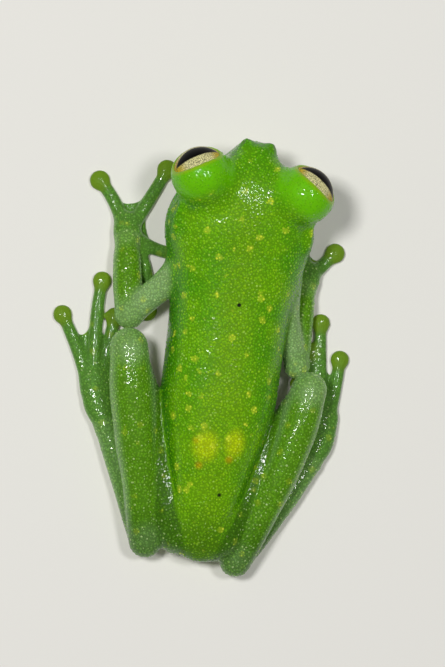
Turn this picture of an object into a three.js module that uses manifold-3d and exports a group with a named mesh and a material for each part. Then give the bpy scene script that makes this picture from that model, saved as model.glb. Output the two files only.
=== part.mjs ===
// A life-size glass frog at rest on a flat surface, in millimetres.
// +Z is up, the snout points to -Y and the frog's left side is +X.
import * as THREE from "three";
import { LoftGeometry } from "three/addons/geometries/LoftGeometry.js";
import { mergeVertices } from "three/addons/utils/BufferGeometryUtils.js";
import Module from "manifold-3d";

const wasm = await Module();
wasm.setup();

// Clearance between neighbouring pieces
const GAP = 0.25;

// Stations of the trunk: y is the place along the back, belt the height of the widest level
const TRUNK = {
  stations: [
    { y: -8.0, half: 4.5, top: 6.6, belt: 3.5, base: 1.0 },
    { y: -5.5, half: 4.25, top: 6.55, belt: 3.0, base: 0.35 },
    { y: -2.5, half: 3.75, top: 6.2, belt: 2.7, base: -0.1 },
    { y: 0.5, half: 3.65, top: 5.95, belt: 2.6, base: -0.15 },
    { y: 3.0, half: 3.6, top: 5.75, belt: 2.6, base: -0.15 },
    { y: 5.5, half: 3.15, top: 5.4, belt: 2.6, base: -0.1 },
    { y: 8.0, half: 2.5, top: 4.85, belt: 2.6, base: 0.0 },
    { y: 10.5, half: 1.85, top: 4.2, belt: 2.5, base: 0.4 },
    { y: 12.8, half: 1.3, top: 3.5, belt: 2.3, base: 1.0 },
  ],
  front: -8.6,
  rear: 13.3,
  roundFront: 1.5,
  roundRear: 1.6,
};

// Stations of the head, with y counted back from the line between the eyes
const HEAD = {
  stations: [
    { y: -2.7, half: 0.95, top: 5.9, belt: 4.5, base: 3.0 },
    { y: -2.0, half: 1.45, top: 6.3, belt: 4.3, base: 2.6 },
    { y: -1.2, half: 2.2, top: 6.65, belt: 4.1, base: 2.2 },
    { y: -0.2, half: 3.3, top: 6.95, belt: 3.9, base: 1.85 },
    { y: 1.0, half: 4.2, top: 7.05, belt: 3.7, base: 1.5 },
    { y: 2.4, half: 4.62, top: 6.95, belt: 3.6, base: 1.15 },
    { y: 3.6, half: 4.6, top: 6.8, belt: 3.5, base: 0.9 },
    { y: 5.0, half: 4.38, top: 6.6, belt: 3.3, base: 0.6 },
  ],
  front: -2.75,
  rear: 5.6,
  roundFront: 0.5,
  roundRear: 1.6,
};
const HEAD_PLACE = new THREE.Vector3(-0.065, -10.46, 0);
const HEAD_YAW = THREE.MathUtils.degToRad(-3.5);
const NECK_Y = -6.3;

// The section's roundness above and below the belt: 2 is an ellipse, more is squarer
const POWER_ABOVE = 2.3;
const POWER_BELOW = 2.6;

// The eye in the head's frame: its centre, the ball, the socket, the lid and the opening of the lids
const EYE = {
  out: 3.3,
  up: 6.4,
  ball: 1.64,
  socket: 1.76,
  lid: 1.96,
  turn: THREE.MathUtils.degToRad(33),
  lift: THREE.MathUtils.degToRad(24),
  wide: THREE.MathUtils.degToRad(60),
  tall: THREE.MathUtils.degToRad(47),
};
const NOSTRIL = { out: 0.75, y: -2.42, up: 5.55, radius: 0.42 };

// Limb segments: three points that the middle line passes through, and its radii from end to end
const point = (x, y, z) => new THREE.Vector3(x, y, z);
const LIMBS = {
  upper_arm_left: {
    path: [point(2.9, -5.0, 3.2), point(4.6, -3.3, 2.5), point(6.1, -1.6, 1.65)],
    radii: [1.2, 0.86, 0.85],
  },
  forearm_left: {
    path: [point(6.1, -1.6, 1.6), point(6.5, -4.0, 1.25), point(6.75, -6.2, 0.85)],
    radii: [0.88, 0.92, 0.88, 0.72],
  },
  upper_arm_right: {
    path: [point(-2.9, -4.6, 3.0), point(-3.9, -1.9, 2.3), point(-4.75, 0.35, 1.65)],
    radii: [1.2, 0.8, 0.72],
  },
  forearm_right: {
    path: [point(-4.85, 0.35, 1.6), point(-4.75, -2.2, 1.25), point(-4.85, -4.5, 0.85)],
    radii: [0.76, 0.82, 0.8, 0.66],
  },
  thigh_left: {
    path: [point(1.5, 11.4, 1.9), point(3.9, 6.0, 1.9), point(5.9, 0.6, 2.5)],
    radii: [1.55, 1.5, 1.4, 1.05],
  },
  shin_left: {
    path: [point(6.0, 0.45, 2.9), point(4.85, 6.0, 2.75), point(3.35, 12.4, 1.75)],
    radii: [1.2, 1.42, 1.35, 1.1, 1.05],
  },
  tarsus_left: {
    path: [point(3.5, 12.3, 1.1), point(5.2, 8.7, 0.95), point(6.6, 5.6, 0.75)],
    radii: [0.85, 0.75, 0.72],
  },
  thigh_right: {
    path: [point(-1.3, 11.6, 1.9), point(-3.5, 6.8, 1.9), point(-5.55, 1.9, 2.5)],
    radii: [1.5, 1.4, 1.3, 1.0],
  },
  shin_right: {
    path: [point(-5.6, 1.75, 2.9), point(-4.5, 7.0, 2.75), point(-2.45, 13.0, 1.75)],
    radii: [1.12, 1.25, 1.18, 1.02, 1.0],
  },
  tarsus_right: {
    path: [point(-2.7, 12.9, 1.1), point(-4.8, 9.6, 0.95), point(-6.5, 6.4, 0.75)],
    radii: [0.85, 0.75, 0.72],
  },
};

// Hands and feet: the pad that the digits spread from, then each digit from inside to outside
const HAND_LEFT = {
  pad: {
    path: [point(6.75, -6.1, 0.75), point(6.8, -6.7, 0.68), point(6.85, -7.3, 0.6)],
    radii: [0.72, 0.86, 0.7],
  },
  digits: [
    [point(6.4, -6.2, 0.5), point(5.2, -4.2, 0.28), point(4.87, -1.9, 0.26)],
    [point(6.4, -6.5, 0.5), point(5.0, -5.9, 0.28), point(3.5, -5.7, 0.26)],
    [point(6.6, -7.0, 0.5), point(5.6, -8.9, 0.28), point(4.72, -10.9, 0.26)],
    [point(7.0, -7.0, 0.5), point(7.8, -8.5, 0.28), point(8.85, -9.7, 0.26)],
  ],
};
const HAND_RIGHT = {
  pad: {
    path: [point(-4.85, -4.4, 0.75), point(-4.9, -5.0, 0.68), point(-4.95, -5.6, 0.6)],
    radii: [0.66, 0.82, 0.68],
  },
  digits: [
    [point(-4.6, -4.5, 0.5), point(-3.6, -3.3, 0.28), point(-2.9, -1.9, 0.26)],
    [point(-4.6, -4.8, 0.5), point(-3.5, -5.2, 0.28), point(-2.3, -5.9, 0.26)],
    [point(-4.8, -5.3, 0.5), point(-4.4, -7.2, 0.28), point(-3.9, -9.2, 0.26)],
    [point(-5.1, -5.3, 0.5), point(-5.9, -6.2, 0.28), point(-6.55, -7.0, 0.26)],
  ],
};
const FOOT_LEFT = {
  pad: {
    path: [point(6.6, 5.5, 0.75), point(7.25, 4.2, 0.66), point(7.6, 2.9, 0.5)],
    radii: [0.72, 0.95, 0.9],
  },
  digits: [
    [point(6.9, 4.3, 0.5), point(6.0, 3.2, 0.28), point(5.3, 1.9, 0.26)],
    [point(7.0, 3.9, 0.5), point(6.3, 2.0, 0.28), point(5.9, 0.2, 0.26)],
    [point(7.2, 3.5, 0.5), point(7.0, 0.8, 0.28), point(6.85, -1.3, 0.26)],
    [point(7.5, 3.3, 0.5), point(7.95, -0.3, 0.28), point(7.93, -3.45, 0.26)],
    [point(7.9, 3.4, 0.5), point(8.85, 1.2, 0.28), point(10.15, -1.05, 0.26)],
  ],
};
const FOOT_RIGHT = {
  pad: {
    path: [point(-6.5, 6.3, 0.75), point(-6.95, 5.0, 0.66), point(-7.15, 3.5, 0.5)],
    radii: [0.72, 0.92, 0.86],
  },
  digits: [
    [point(-6.6, 4.9, 0.5), point(-5.9, 4.0, 0.28), point(-5.2, 3.1, 0.26)],
    [point(-6.7, 4.4, 0.5), point(-5.9, 2.9, 0.28), point(-5.3, 1.5, 0.26)],
    [point(-6.8, 3.9, 0.5), point(-6.1, 1.2, 0.28), point(-5.75, -0.6, 0.26)],
    [point(-7.0, 3.8, 0.5), point(-6.5, 0.4, 0.28), point(-6.2, -2.5, 0.26)],
    [point(-7.3, 3.8, 0.5), point(-7.6, 1.6, 0.28), point(-7.7, -0.35, 0.26)],
  ],
};
const DIGIT_RADII = [0.45, 0.38, 0.34];
const DISC = { finger: 0.64, toe: 0.6, thick: 0.3, level: 0.26 };

// Webs: the two digits that each joins, counted from the inside, and the share of their length
const WEB_THICK = 0.5;
const HAND_WEBS = [
  [1, 2, 0.5],
  [2, 3, 0.6],
];
const FOOT_WEBS = [
  [1, 2, 0.45],
  [2, 3, 0.7],
  [3, 4, 0.8],
];

const HIDE = { color: 0x5f9a1c, roughness: 0.4, metalness: 0 };
const PALE_HIDE = { color: 0x6f9c4a, roughness: 0.35, metalness: 0 };
const IRIS = { color: 0xd9cf8a, roughness: 0.1, metalness: 0 };

// A smooth curve through the stations' values of one size
function profile(stations, key) {
  const slope = stations.map((s, i) => {
    const before = stations[Math.max(i - 1, 0)];
    const after = stations[Math.min(i + 1, stations.length - 1)];
    return (after[key] - before[key]) / (after.y - before.y);
  });
  return (y) => {
    const last = stations.length - 1;
    if (y <= stations[0].y) return stations[0][key];
    if (y >= stations[last].y) return stations[last][key];
    const i = stations.findIndex((s) => s.y > y) - 1;
    const span = stations[i + 1].y - stations[i].y;
    const t = (y - stations[i].y) / span;
    const t2 = t * t;
    const t3 = t2 * t;
    return (
      (2 * t3 - 3 * t2 + 1) * stations[i][key] +
      (t3 - 2 * t2 + t) * span * slope[i] +
      (3 * t2 - 2 * t3) * stations[i + 1][key] +
      (t3 - t2) * span * slope[i + 1]
    );
  };
}

// The share of full size at a distance into a rounded end
function rounding(into, round) {
  if (into >= round) return 1;
  return Math.sqrt(Math.max(0, 1 - ((round - into) / round) ** 2));
}

// A trunk or a head: closed sections from front to rear
function bodyShape(body, { grow = 0, rings = 16, sides = 18 } = {}) {
  const half = profile(body.stations, "half");
  const top = profile(body.stations, "top");
  const belt = profile(body.stations, "belt");
  const base = profile(body.stations, "base");
  const smallest = 0.02;
  const sections = [];
  for (let i = 0; i <= rings; i++) {
    const ease = 0.5 - 0.5 * Math.cos((Math.PI * i) / rings);
    const y = body.front + (body.rear - body.front) * (0.5 * ease + (0.5 * i) / rings);
    const size = Math.min(
      rounding(y - body.front, body.roundFront),
      rounding(body.rear - y, body.roundRear),
    );
    const scale = Math.max(size, smallest);
    const ring = [];
    for (let j = 0; j < sides; j++) {
      const angle = (2 * Math.PI * j) / sides;
      const across = Math.cos(angle);
      const up = Math.sin(angle);
      const power = up > 0 ? POWER_ABOVE : POWER_BELOW;
      const height = up > 0 ? top(y) - belt(y) : belt(y) - base(y);
      const reach = (Math.abs(across) ** power + Math.abs(up) ** power) ** (-1 / power);
      const x = across * reach * (half(y) * scale + grow);
      const z = belt(y) + up * reach * (height * scale + grow);
      ring.push(point(x, y, z));
    }
    sections.push(ring);
  }
  return loft(sections);
}

// The curve through a limb's three points
function limbCurve([start, middle, end]) {
  const control = middle.clone().multiplyScalar(2).sub(start.clone().add(end).multiplyScalar(0.5));
  return new THREE.QuadraticBezierCurve3(start, control, end);
}

// The radius at a share of the length, smoothly between the stated ones
function radiusAt(radii, t) {
  const place = Math.min(t, 0.99999) * (radii.length - 1);
  const i = Math.floor(place);
  const ease = 0.5 - 0.5 * Math.cos(Math.PI * (place - i));
  return radii[i] + (radii[i + 1] - radii[i]) * ease;
}

// A limb segment: round sections along its curve, closed by a rounded cap at each end
function limbShape({ path, radii }, { grow = 0, rings = 6, sides = 9, capRings = 2 } = {}) {
  const curve = limbCurve(path);
  const up = point(0, 0, 1);
  const tip = 0.94;
  const sections = [];
  const addRing = (centre, tangent, radius) => {
    const side = tangent.clone().cross(up).normalize();
    const lift = side.clone().cross(tangent).normalize();
    const ring = [];
    for (let j = 0; j < sides; j++) {
      const angle = (2 * Math.PI * j) / sides;
      ring.push(
        centre
          .clone()
          .addScaledVector(side, -Math.cos(angle) * radius)
          .addScaledVector(lift, Math.sin(angle) * radius),
      );
    }
    sections.push(ring);
  };
  const addCap = (t, direction) => {
    const radius = radiusAt(radii, t) + grow;
    const shares = Array.from({ length: capRings }, (_, i) => (tip * (capRings - i)) / capRings);
    if (direction > 0) shares.reverse();
    for (const share of shares) {
      const centre = curve.getPoint(t).addScaledVector(curve.getTangent(t), direction * share * radius);
      addRing(centre, curve.getTangent(t), radius * Math.sqrt(1 - share * share));
    }
  };
  addCap(0, -1);
  for (let i = 0; i <= rings; i++) {
    const t = i / rings;
    addRing(curve.getPoint(t), curve.getTangent(t), radiusAt(radii, t) + grow);
  }
  addCap(1, 1);
  return loft(sections);
}

// An ellipsoid with its own radii, placed at a centre
function ballShape(centre, rx, ry, rz, segments = 12) {
  const geometry = new THREE.SphereGeometry(1, segments, Math.round(segments * 0.6));
  return solidOf(geometry.scale(rx, ry, rz).translate(centre.x, centre.y, centre.z));
}

// A thin web between two digits, from the pad out to a share of their length
function webShape(first, second, reach) {
  const steps = 2;
  const sections = [];
  for (let i = 0; i <= steps; i++) {
    const t = reach * (i / steps);
    const a = limbCurve(first).getPoint(t);
    const b = limbCurve(second).getPoint(t);
    sections.push([
      point(a.x, a.y, WEB_THICK),
      point(b.x, b.y, WEB_THICK),
      point(b.x, b.y, -GAP),
      point(a.x, a.y, -GAP),
    ]);
  }
  return loft(sections);
}

// A hand or a foot: pad, digits with their discs, and the webs between the outer digits
function padShape({ pad, digits }, disc, webs) {
  let made = limbShape(pad, { rings: 3, sides: 8 });
  for (const path of digits) {
    const tip = path[2];
    made = made.add(limbShape({ path, radii: DIGIT_RADII }, { rings: 2, sides: 6, capRings: 1 }));
    made = made.add(ballShape(point(tip.x, tip.y, DISC.level), disc, disc, DISC.thick, 7));
  }
  for (const [a, b, reach] of webs) made = made.add(webShape(digits[a], digits[b], reach));
  return made;
}

// A closed manifold solid from a geometry
function solidOf(geometry) {
  const bare = new THREE.BufferGeometry().copy(geometry);
  bare.deleteAttribute("normal");
  bare.deleteAttribute("uv");
  const merged = mergeVertices(bare, 1e-4);
  const triVerts = new Uint32Array(merged.index.array);
  const vertProperties = new Float32Array(merged.attributes.position.array);
  return new wasm.Manifold(new wasm.Mesh({ numProp: 3, vertProperties, triVerts }));
}

// A capped solid through sections, each turned to run anticlockwise as seen from the last one
function loft(sections) {
  const middleOf = (ring) => ring.reduce((sum, p) => sum.add(p), point(0, 0, 0)).divideScalar(ring.length);
  const start = middleOf(sections[0]);
  const onward = middleOf(sections[1]).sub(start);
  const facing = point(0, 0, 0);
  sections[0].forEach((p, i, ring) => {
    const next = ring[(i + 1) % ring.length];
    facing.add(p.clone().sub(start).cross(next.clone().sub(start)));
  });
  if (facing.dot(onward) < 0) sections.forEach((ring) => ring.reverse());
  return solidOf(new LoftGeometry(sections, { capStart: true, capEnd: true }));
}

// A named mesh from a manifold solid
function meshOf(name, solid, look) {
  const { vertProperties, triVerts } = solid.getMesh();
  const geometry = new THREE.BufferGeometry();
  geometry.setAttribute("position", new THREE.BufferAttribute(new Float32Array(vertProperties), 3));
  geometry.setIndex(new THREE.BufferAttribute(new Uint32Array(triVerts), 1));
  geometry.computeVertexNormals();
  const mesh = new THREE.Mesh(geometry, new THREE.MeshStandardMaterial(look));
  mesh.name = name;
  return mesh;
}

// A box between two corners, for cutting
function block(low, high) {
  const size = high.clone().sub(low);
  const centre = low.clone().add(high).multiplyScalar(0.5);
  return solidOf(new THREE.BoxGeometry(size.x, size.y, size.z).translate(centre.x, centre.y, centre.z));
}

// Moves a solid from the head's frame to the frog's
function fromHead(solid) {
  const turn = THREE.MathUtils.radToDeg(HEAD_YAW);
  return solid.rotate([0, 0, turn]).translate([HEAD_PLACE.x, HEAD_PLACE.y, HEAD_PLACE.z]);
}

// How far the opening's wedge and its ball reach, in lid radii, and where the wedge starts
const OPENING = { wedge: 1.2, ball: 1.08, start: 0.05 };
const EYE_SIDES = 14;
const eyeCentre = (side) => point(side * EYE.out, 0, EYE.up);

// The wedge of space in front of an eye that its lids leave open
function eyeOpening(side) {
  const sides = 20;
  const past = EYE.lid * OPENING.wedge;
  const axis = point(
    side * Math.sin(EYE.turn) * Math.cos(EYE.lift),
    -Math.cos(EYE.turn) * Math.cos(EYE.lift),
    Math.sin(EYE.lift),
  );
  const level = axis.clone().cross(point(0, 0, 1)).normalize();
  const steep = level.clone().cross(axis).normalize();
  const ring = (scale) =>
    Array.from({ length: sides }, (_, j) => {
      const angle = (2 * Math.PI * j) / sides;
      return eyeCentre(side)
        .addScaledVector(axis, scale * past)
        .addScaledVector(level, scale * past * Math.tan(EYE.wide) * Math.cos(angle))
        .addScaledVector(steep, scale * past * Math.tan(EYE.tall) * Math.sin(angle));
    });
  const within = EYE.lid * OPENING.ball;
  const ball = ballShape(eyeCentre(side), within, within, within, EYE_SIDES);
  return loft([ring(OPENING.start), ring(1)]).intersect(ball);
}

// The head with its nostrils and lids, hollowed for the two eyes
function headShape() {
  let made = bodyShape(HEAD, { rings: 13, sides: 16 });
  for (const side of [1, -1]) {
    const nostril = point(side * NOSTRIL.out, NOSTRIL.y, NOSTRIL.up);
    made = made.add(ballShape(nostril, NOSTRIL.radius, NOSTRIL.radius, NOSTRIL.radius, 8));
    made = made.add(ballShape(eyeCentre(side), EYE.lid, EYE.lid, EYE.lid, EYE_SIDES));
  }
  for (const side of [1, -1]) {
    made = made.subtract(eyeOpening(side));
    made = made.subtract(ballShape(eyeCentre(side), EYE.socket, EYE.socket, EYE.socket, EYE_SIDES));
  }
  return fromHead(made);
}

const FAR = 40;
const floor = block(point(-FAR, -FAR, -FAR), point(FAR, FAR, 0));
const aheadOfNeck = block(point(-FAR, -FAR, -FAR), point(FAR, NECK_Y - GAP / 2, FAR));
const behindNeck = block(point(-FAR, NECK_Y + GAP / 2, -FAR), point(FAR, FAR, FAR));

const core = headShape().add(bodyShape(TRUNK));
const pieces = new Map();
pieces.set("head", core.intersect(aheadOfNeck));
pieces.set("trunk", core.intersect(behindNeck));

// Each piece is cut clear of what it joins: the trunk first, then outwards along each limb
const grownCore = bodyShape(TRUNK, { grow: GAP }).add(fromHead(bodyShape(HEAD, { grow: GAP })));
const grown = (name) => limbShape(LIMBS[name], { grow: GAP });
const bare = (name) => limbShape(LIMBS[name]);
for (const side of ["left", "right"]) {
  const upperArm = grown("upper_arm_" + side);
  const shin = grown("shin_" + side);
  pieces.set("upper_arm_" + side, bare("upper_arm_" + side).subtract(grownCore));
  pieces.set("forearm_" + side, bare("forearm_" + side).subtract(grownCore).subtract(upperArm));
  pieces.set("thigh_" + side, bare("thigh_" + side).subtract(grownCore).subtract(shin));
  pieces.set("shin_" + side, bare("shin_" + side).subtract(grownCore));
  pieces.set("tarsus_" + side, bare("tarsus_" + side).subtract(shin));
}
const hands = { left: HAND_LEFT, right: HAND_RIGHT };
const feet = { left: FOOT_LEFT, right: FOOT_RIGHT };
for (const side of ["left", "right"]) {
  const hand = padShape(hands[side], DISC.finger, HAND_WEBS);
  const foot = padShape(feet[side], DISC.toe, FOOT_WEBS);
  const arm = grown("forearm_" + side).add(grown("upper_arm_" + side));
  pieces.set("hand_" + side, hand.subtract(arm).subtract(grownCore));
  pieces.set("foot_" + side, foot.subtract(grown("tarsus_" + side)).subtract(grown("forearm_" + side)));
}

const frog = new THREE.Group();
for (const [name, solid] of pieces) {
  const look = /hand|foot|tarsus/.test(name) ? PALE_HIDE : HIDE;
  frog.add(meshOf(name, solid.subtract(floor), look));
}
const eyeSides = { left: 1, right: -1 };
for (const [name, side] of Object.entries(eyeSides)) {
  const ball = ballShape(eyeCentre(side), EYE.ball, EYE.ball, EYE.ball, EYE_SIDES);
  frog.add(meshOf("eye_" + name, fromHead(ball), IRIS));
}

// The origin is under the middle of the frog, on the surface that it rests on
const bounds = new THREE.Box3().setFromObject(frog);
const middle = bounds.getCenter(point(0, 0, 0));
frog.position.set(-middle.x, -middle.y, 0);

export default frog;
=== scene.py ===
"""A life-size glass frog, crouched flat under soft studio light.

The frog's flesh is one skin: a surface worked out from the sizes of the head, trunk and limbs,
blended where the real skin runs on and creased where limbs press together. Granules grow over it,
and the two eyes sit in it as pieces of their own.
"""

from __future__ import annotations

import logging
import math
from dataclasses import dataclass, field
from enum import IntEnum

import bpy
import numpy as np
from mathutils import Matrix, Vector


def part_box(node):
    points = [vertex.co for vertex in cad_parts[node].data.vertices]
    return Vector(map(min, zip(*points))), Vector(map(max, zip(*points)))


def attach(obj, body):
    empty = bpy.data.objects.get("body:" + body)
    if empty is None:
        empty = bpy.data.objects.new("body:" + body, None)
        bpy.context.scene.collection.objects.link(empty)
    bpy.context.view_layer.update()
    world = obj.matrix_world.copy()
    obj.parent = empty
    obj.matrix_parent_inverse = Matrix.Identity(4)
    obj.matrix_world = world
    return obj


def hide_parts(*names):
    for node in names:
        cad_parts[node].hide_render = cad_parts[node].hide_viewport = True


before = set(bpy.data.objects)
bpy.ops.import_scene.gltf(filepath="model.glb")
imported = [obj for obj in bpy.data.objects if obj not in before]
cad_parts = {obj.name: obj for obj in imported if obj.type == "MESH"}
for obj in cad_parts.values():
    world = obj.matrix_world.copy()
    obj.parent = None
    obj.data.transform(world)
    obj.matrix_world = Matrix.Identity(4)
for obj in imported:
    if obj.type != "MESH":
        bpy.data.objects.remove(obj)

log = logging.getLogger("glass_frog")

MM = 0.001
PHOTO_SIZE = (445, 667)

# How far faces of one island on the map may turn, in radians, and the gap between islands
MAP_ANGLE = 1.15
MAP_MARGIN = 0.004

# What the field says in empty space, and lengths too small to matter
FAR = 5.0
TINY = 1e-6
TINIER = 1e-9

Point = tuple[float, float, float]
Flat = tuple[float, float]
Band = tuple[float, float]
Places = tuple[np.ndarray, np.ndarray, np.ndarray]
Box = tuple[np.ndarray, np.ndarray]
Tree = bpy.types.NodeTree
Socket = bpy.types.NodeSocket


class Side(IntEnum):
    """The frog's two sides, each with the sign of its x."""

    LEFT = 1
    RIGHT = -1

    @property
    def word(self) -> str:
        """The side's name as the nodes have it."""
        return self.name.lower()

    def flip(self, point: Point) -> Point:
        """A point given for the left side, on this one."""
        return self * point[0], point[1], point[2]


# Shapes as fields: negative inside the flesh, zero on the skin, in millimetres


def smoothstep(low: float, high: float, value: np.ndarray) -> np.ndarray:
    """Rises smoothly from 0 at low to 1 at high.

    Args:
        low: Where the rise starts.
        high: Where it ends.
        value: What is tested.

    Returns:
        The share between 0 and 1.
    """
    t = np.clip((value - low) / (high - low), 0.0, 1.0)
    return t * t * (3.0 - 2.0 * t)


def hump(value: np.ndarray, width: float) -> np.ndarray:
    """A soft bell that is 1 where the value is 0."""
    return np.exp(-((value / width) ** 2))


def join(a: np.ndarray, b: np.ndarray, blend: float | np.ndarray) -> np.ndarray:
    """Joins two fields with a fillet.

    Args:
        a: The first field.
        b: The second field.
        blend: How far the fillet reaches, in millimetres.

    Returns:
        The field of both shapes together.
    """
    h = np.clip(0.5 + 0.5 * (a - b) / blend, 0.0, 1.0)
    return a + (b - a) * h - blend * h * (1.0 - h)


def carve(a: np.ndarray, b: np.ndarray, blend: float) -> np.ndarray:
    """Takes the shape of b out of a, with its edge rounded by blend."""
    return -join(-a, b, blend)


def length_of(*parts: np.ndarray) -> np.ndarray:
    """The length of a vector given by its parts."""
    return np.sqrt(sum(part * part for part in parts))


def from_centre(at: Places, centre: Point) -> Places:
    """Places as seen from a centre."""
    return at[0] - centre[0], at[1] - centre[1], at[2] - centre[2]


@dataclass(frozen=True)
class Ball:
    """A ball or an ellipsoid along the axes."""

    centre: Point
    radii: Point

    def on(self, side: Side) -> Ball:
        """A ball given for the left side, on this one."""
        return Ball(side.flip(self.centre), self.radii)

    def field(self, at: Places) -> np.ndarray:
        """The ball's field.

        Args:
            at: The places where it is wanted.

        Returns:
            The field there.
        """
        dx, dy, dz = from_centre(at, self.centre)
        away = length_of(dx, dy, dz) + TINY
        share = length_of(dx / self.radii[0], dy / self.radii[1], dz / self.radii[2]) + TINY
        return np.maximum(away * (1.0 - 1.0 / share), -min(self.radii))


@dataclass(frozen=True)
class Sweep:
    """A rounded limb or digit along a smooth curve through three points.

    wide holds the half widths from end to end, and tall the half heights where they differ.
    """

    path: tuple[Point, Point, Point]
    wide: tuple[float, ...]
    tall: tuple[float, ...] | None = None
    steps: int = 14

    def on(self, side: Side) -> Sweep:
        """A sweep given for the left side, on this one."""
        return Sweep(tuple(side.flip(point) for point in self.path), self.wide, self.tall, self.steps)

    def curve(self) -> np.ndarray:
        """The middle line.

        Returns:
            Its points, one more than the steps.
        """
        start, middle, end = (np.array(p, float) for p in self.path)
        control = 2.0 * middle - 0.5 * (start + end)
        t = np.linspace(0.0, 1.0, self.steps + 1)[:, None]
        return (1 - t) ** 2 * start + 2 * t * (1 - t) * control + t**2 * end

    def sizes(self, radii: tuple[float, ...]) -> np.ndarray:
        """Eases between the stated radii.

        Args:
            radii: The radii from end to end.

        Returns:
            The radius at each point of the middle line.
        """
        place = np.linspace(0.0, 1.0, self.steps + 1) * (len(radii) - 1)
        low = np.minimum(place.astype(int), len(radii) - 2)
        ease = 0.5 - 0.5 * np.cos(math.pi * (place - low))
        values = np.array(radii)
        return values[low] + (values[low + 1] - values[low]) * ease

    def box(self) -> Box:
        """The room that the shape takes.

        Returns:
            The lowest and the highest corner.
        """
        points = self.curve()
        reach = max(self.wide + (self.tall or ()))
        return points.min(0) - reach, points.max(0) + reach

    def field(self, at: Places) -> np.ndarray:
        """The sweep's field.

        Args:
            at: The places where it is wanted.

        Returns:
            The field there.
        """
        points = self.curve()
        wide = self.sizes(self.wide)
        tall = self.sizes(self.tall) if self.tall else wide
        best = np.float32(np.inf)
        for i in range(self.steps):
            run = points[i + 1] - points[i]
            px, py, pz = from_centre(at, points[i])
            t = np.clip((px * run[0] + py * run[1] + pz * run[2]) / (run @ run), 0.0, 1.0)
            qx, qy, qz = px - t * run[0], py - t * run[1], pz - t * run[2]
            a = wide[i] + t * (wide[i + 1] - wide[i])
            b = tall[i] + t * (tall[i + 1] - tall[i])
            level = qx * qx + qy * qy
            upright = qz * qz
            share = np.sqrt(level / (a * a) + upright / (b * b)) + TINY
            here = np.maximum(np.sqrt(level + upright) * (1.0 - 1.0 / share), -np.minimum(a, b))
            best = np.minimum(best, here)
        return best


@dataclass(frozen=True)
class Web:
    """A thin skin between two digits, resting on the floor, with a hollowed free edge."""

    first: Sweep
    second: Sweep
    reach: float
    hollow: float = 0.26
    level: float = 0.08
    half_thick: float = 0.14
    count: int = 10

    def outline(self) -> np.ndarray:
        """The web's outline seen from above.

        Returns:
            Its points: out along one digit, across the free edge and back along the other.
        """
        near, far = self.first.curve(), self.second.curve()
        places = np.linspace(0.0, self.reach, self.count) * (len(near) - 1)
        rows = np.arange(len(near))
        a = np.stack([np.interp(places, rows, near[:, i]) for i in (0, 1)], axis=1)
        b = np.stack([np.interp(places, rows, far[:, i]) for i in (0, 1)], axis=1)
        across = np.linspace(0.0, 1.0, self.count)[1:-1, None]
        edge = a[-1] + (b[-1] - a[-1]) * across
        back = (a[0] + b[0]) / 2 - (a[-1] + b[-1]) / 2
        edge = edge + back * self.hollow * np.sin(math.pi * across)
        return np.concatenate([a, edge, b[::-1]])

    def field(self, at: Places) -> np.ndarray:
        """The web's field.

        Args:
            at: The places where it is wanted.

        Returns:
            The field there.
        """
        x, y, z = at
        outline = self.outline()
        nearest = np.float32(np.inf)
        inside = np.zeros(np.broadcast(x, y).shape, bool)
        for a, b in zip(outline, np.roll(outline, -1, axis=0)):
            run = b - a
            if run @ run < TINIER:
                continue
            t = np.clip(((x - a[0]) * run[0] + (y - a[1]) * run[1]) / (run @ run), 0.0, 1.0)
            nearest = np.minimum(nearest, length_of(x - a[0] - t * run[0], y - a[1] - t * run[1]))
            if a[1] != b[1]:
                crossing = (a[1] > y) != (b[1] > y)
                inside ^= crossing & (x < a[0] + (y - a[1]) * run[0] / (b[1] - a[1]))
        flat = np.where(inside, -nearest, nearest)
        thick = np.abs(z - self.level) - self.half_thick
        outer = length_of(np.maximum(flat, 0.0), np.maximum(thick, 0.0))
        return outer + np.minimum(np.maximum(flat, thick), 0.0)


@dataclass(frozen=True)
class Station:
    """A cross-section of the body: its place, half width, top, widest level and base."""

    y: float
    half: float
    top: float
    belt: float
    base: float


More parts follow.
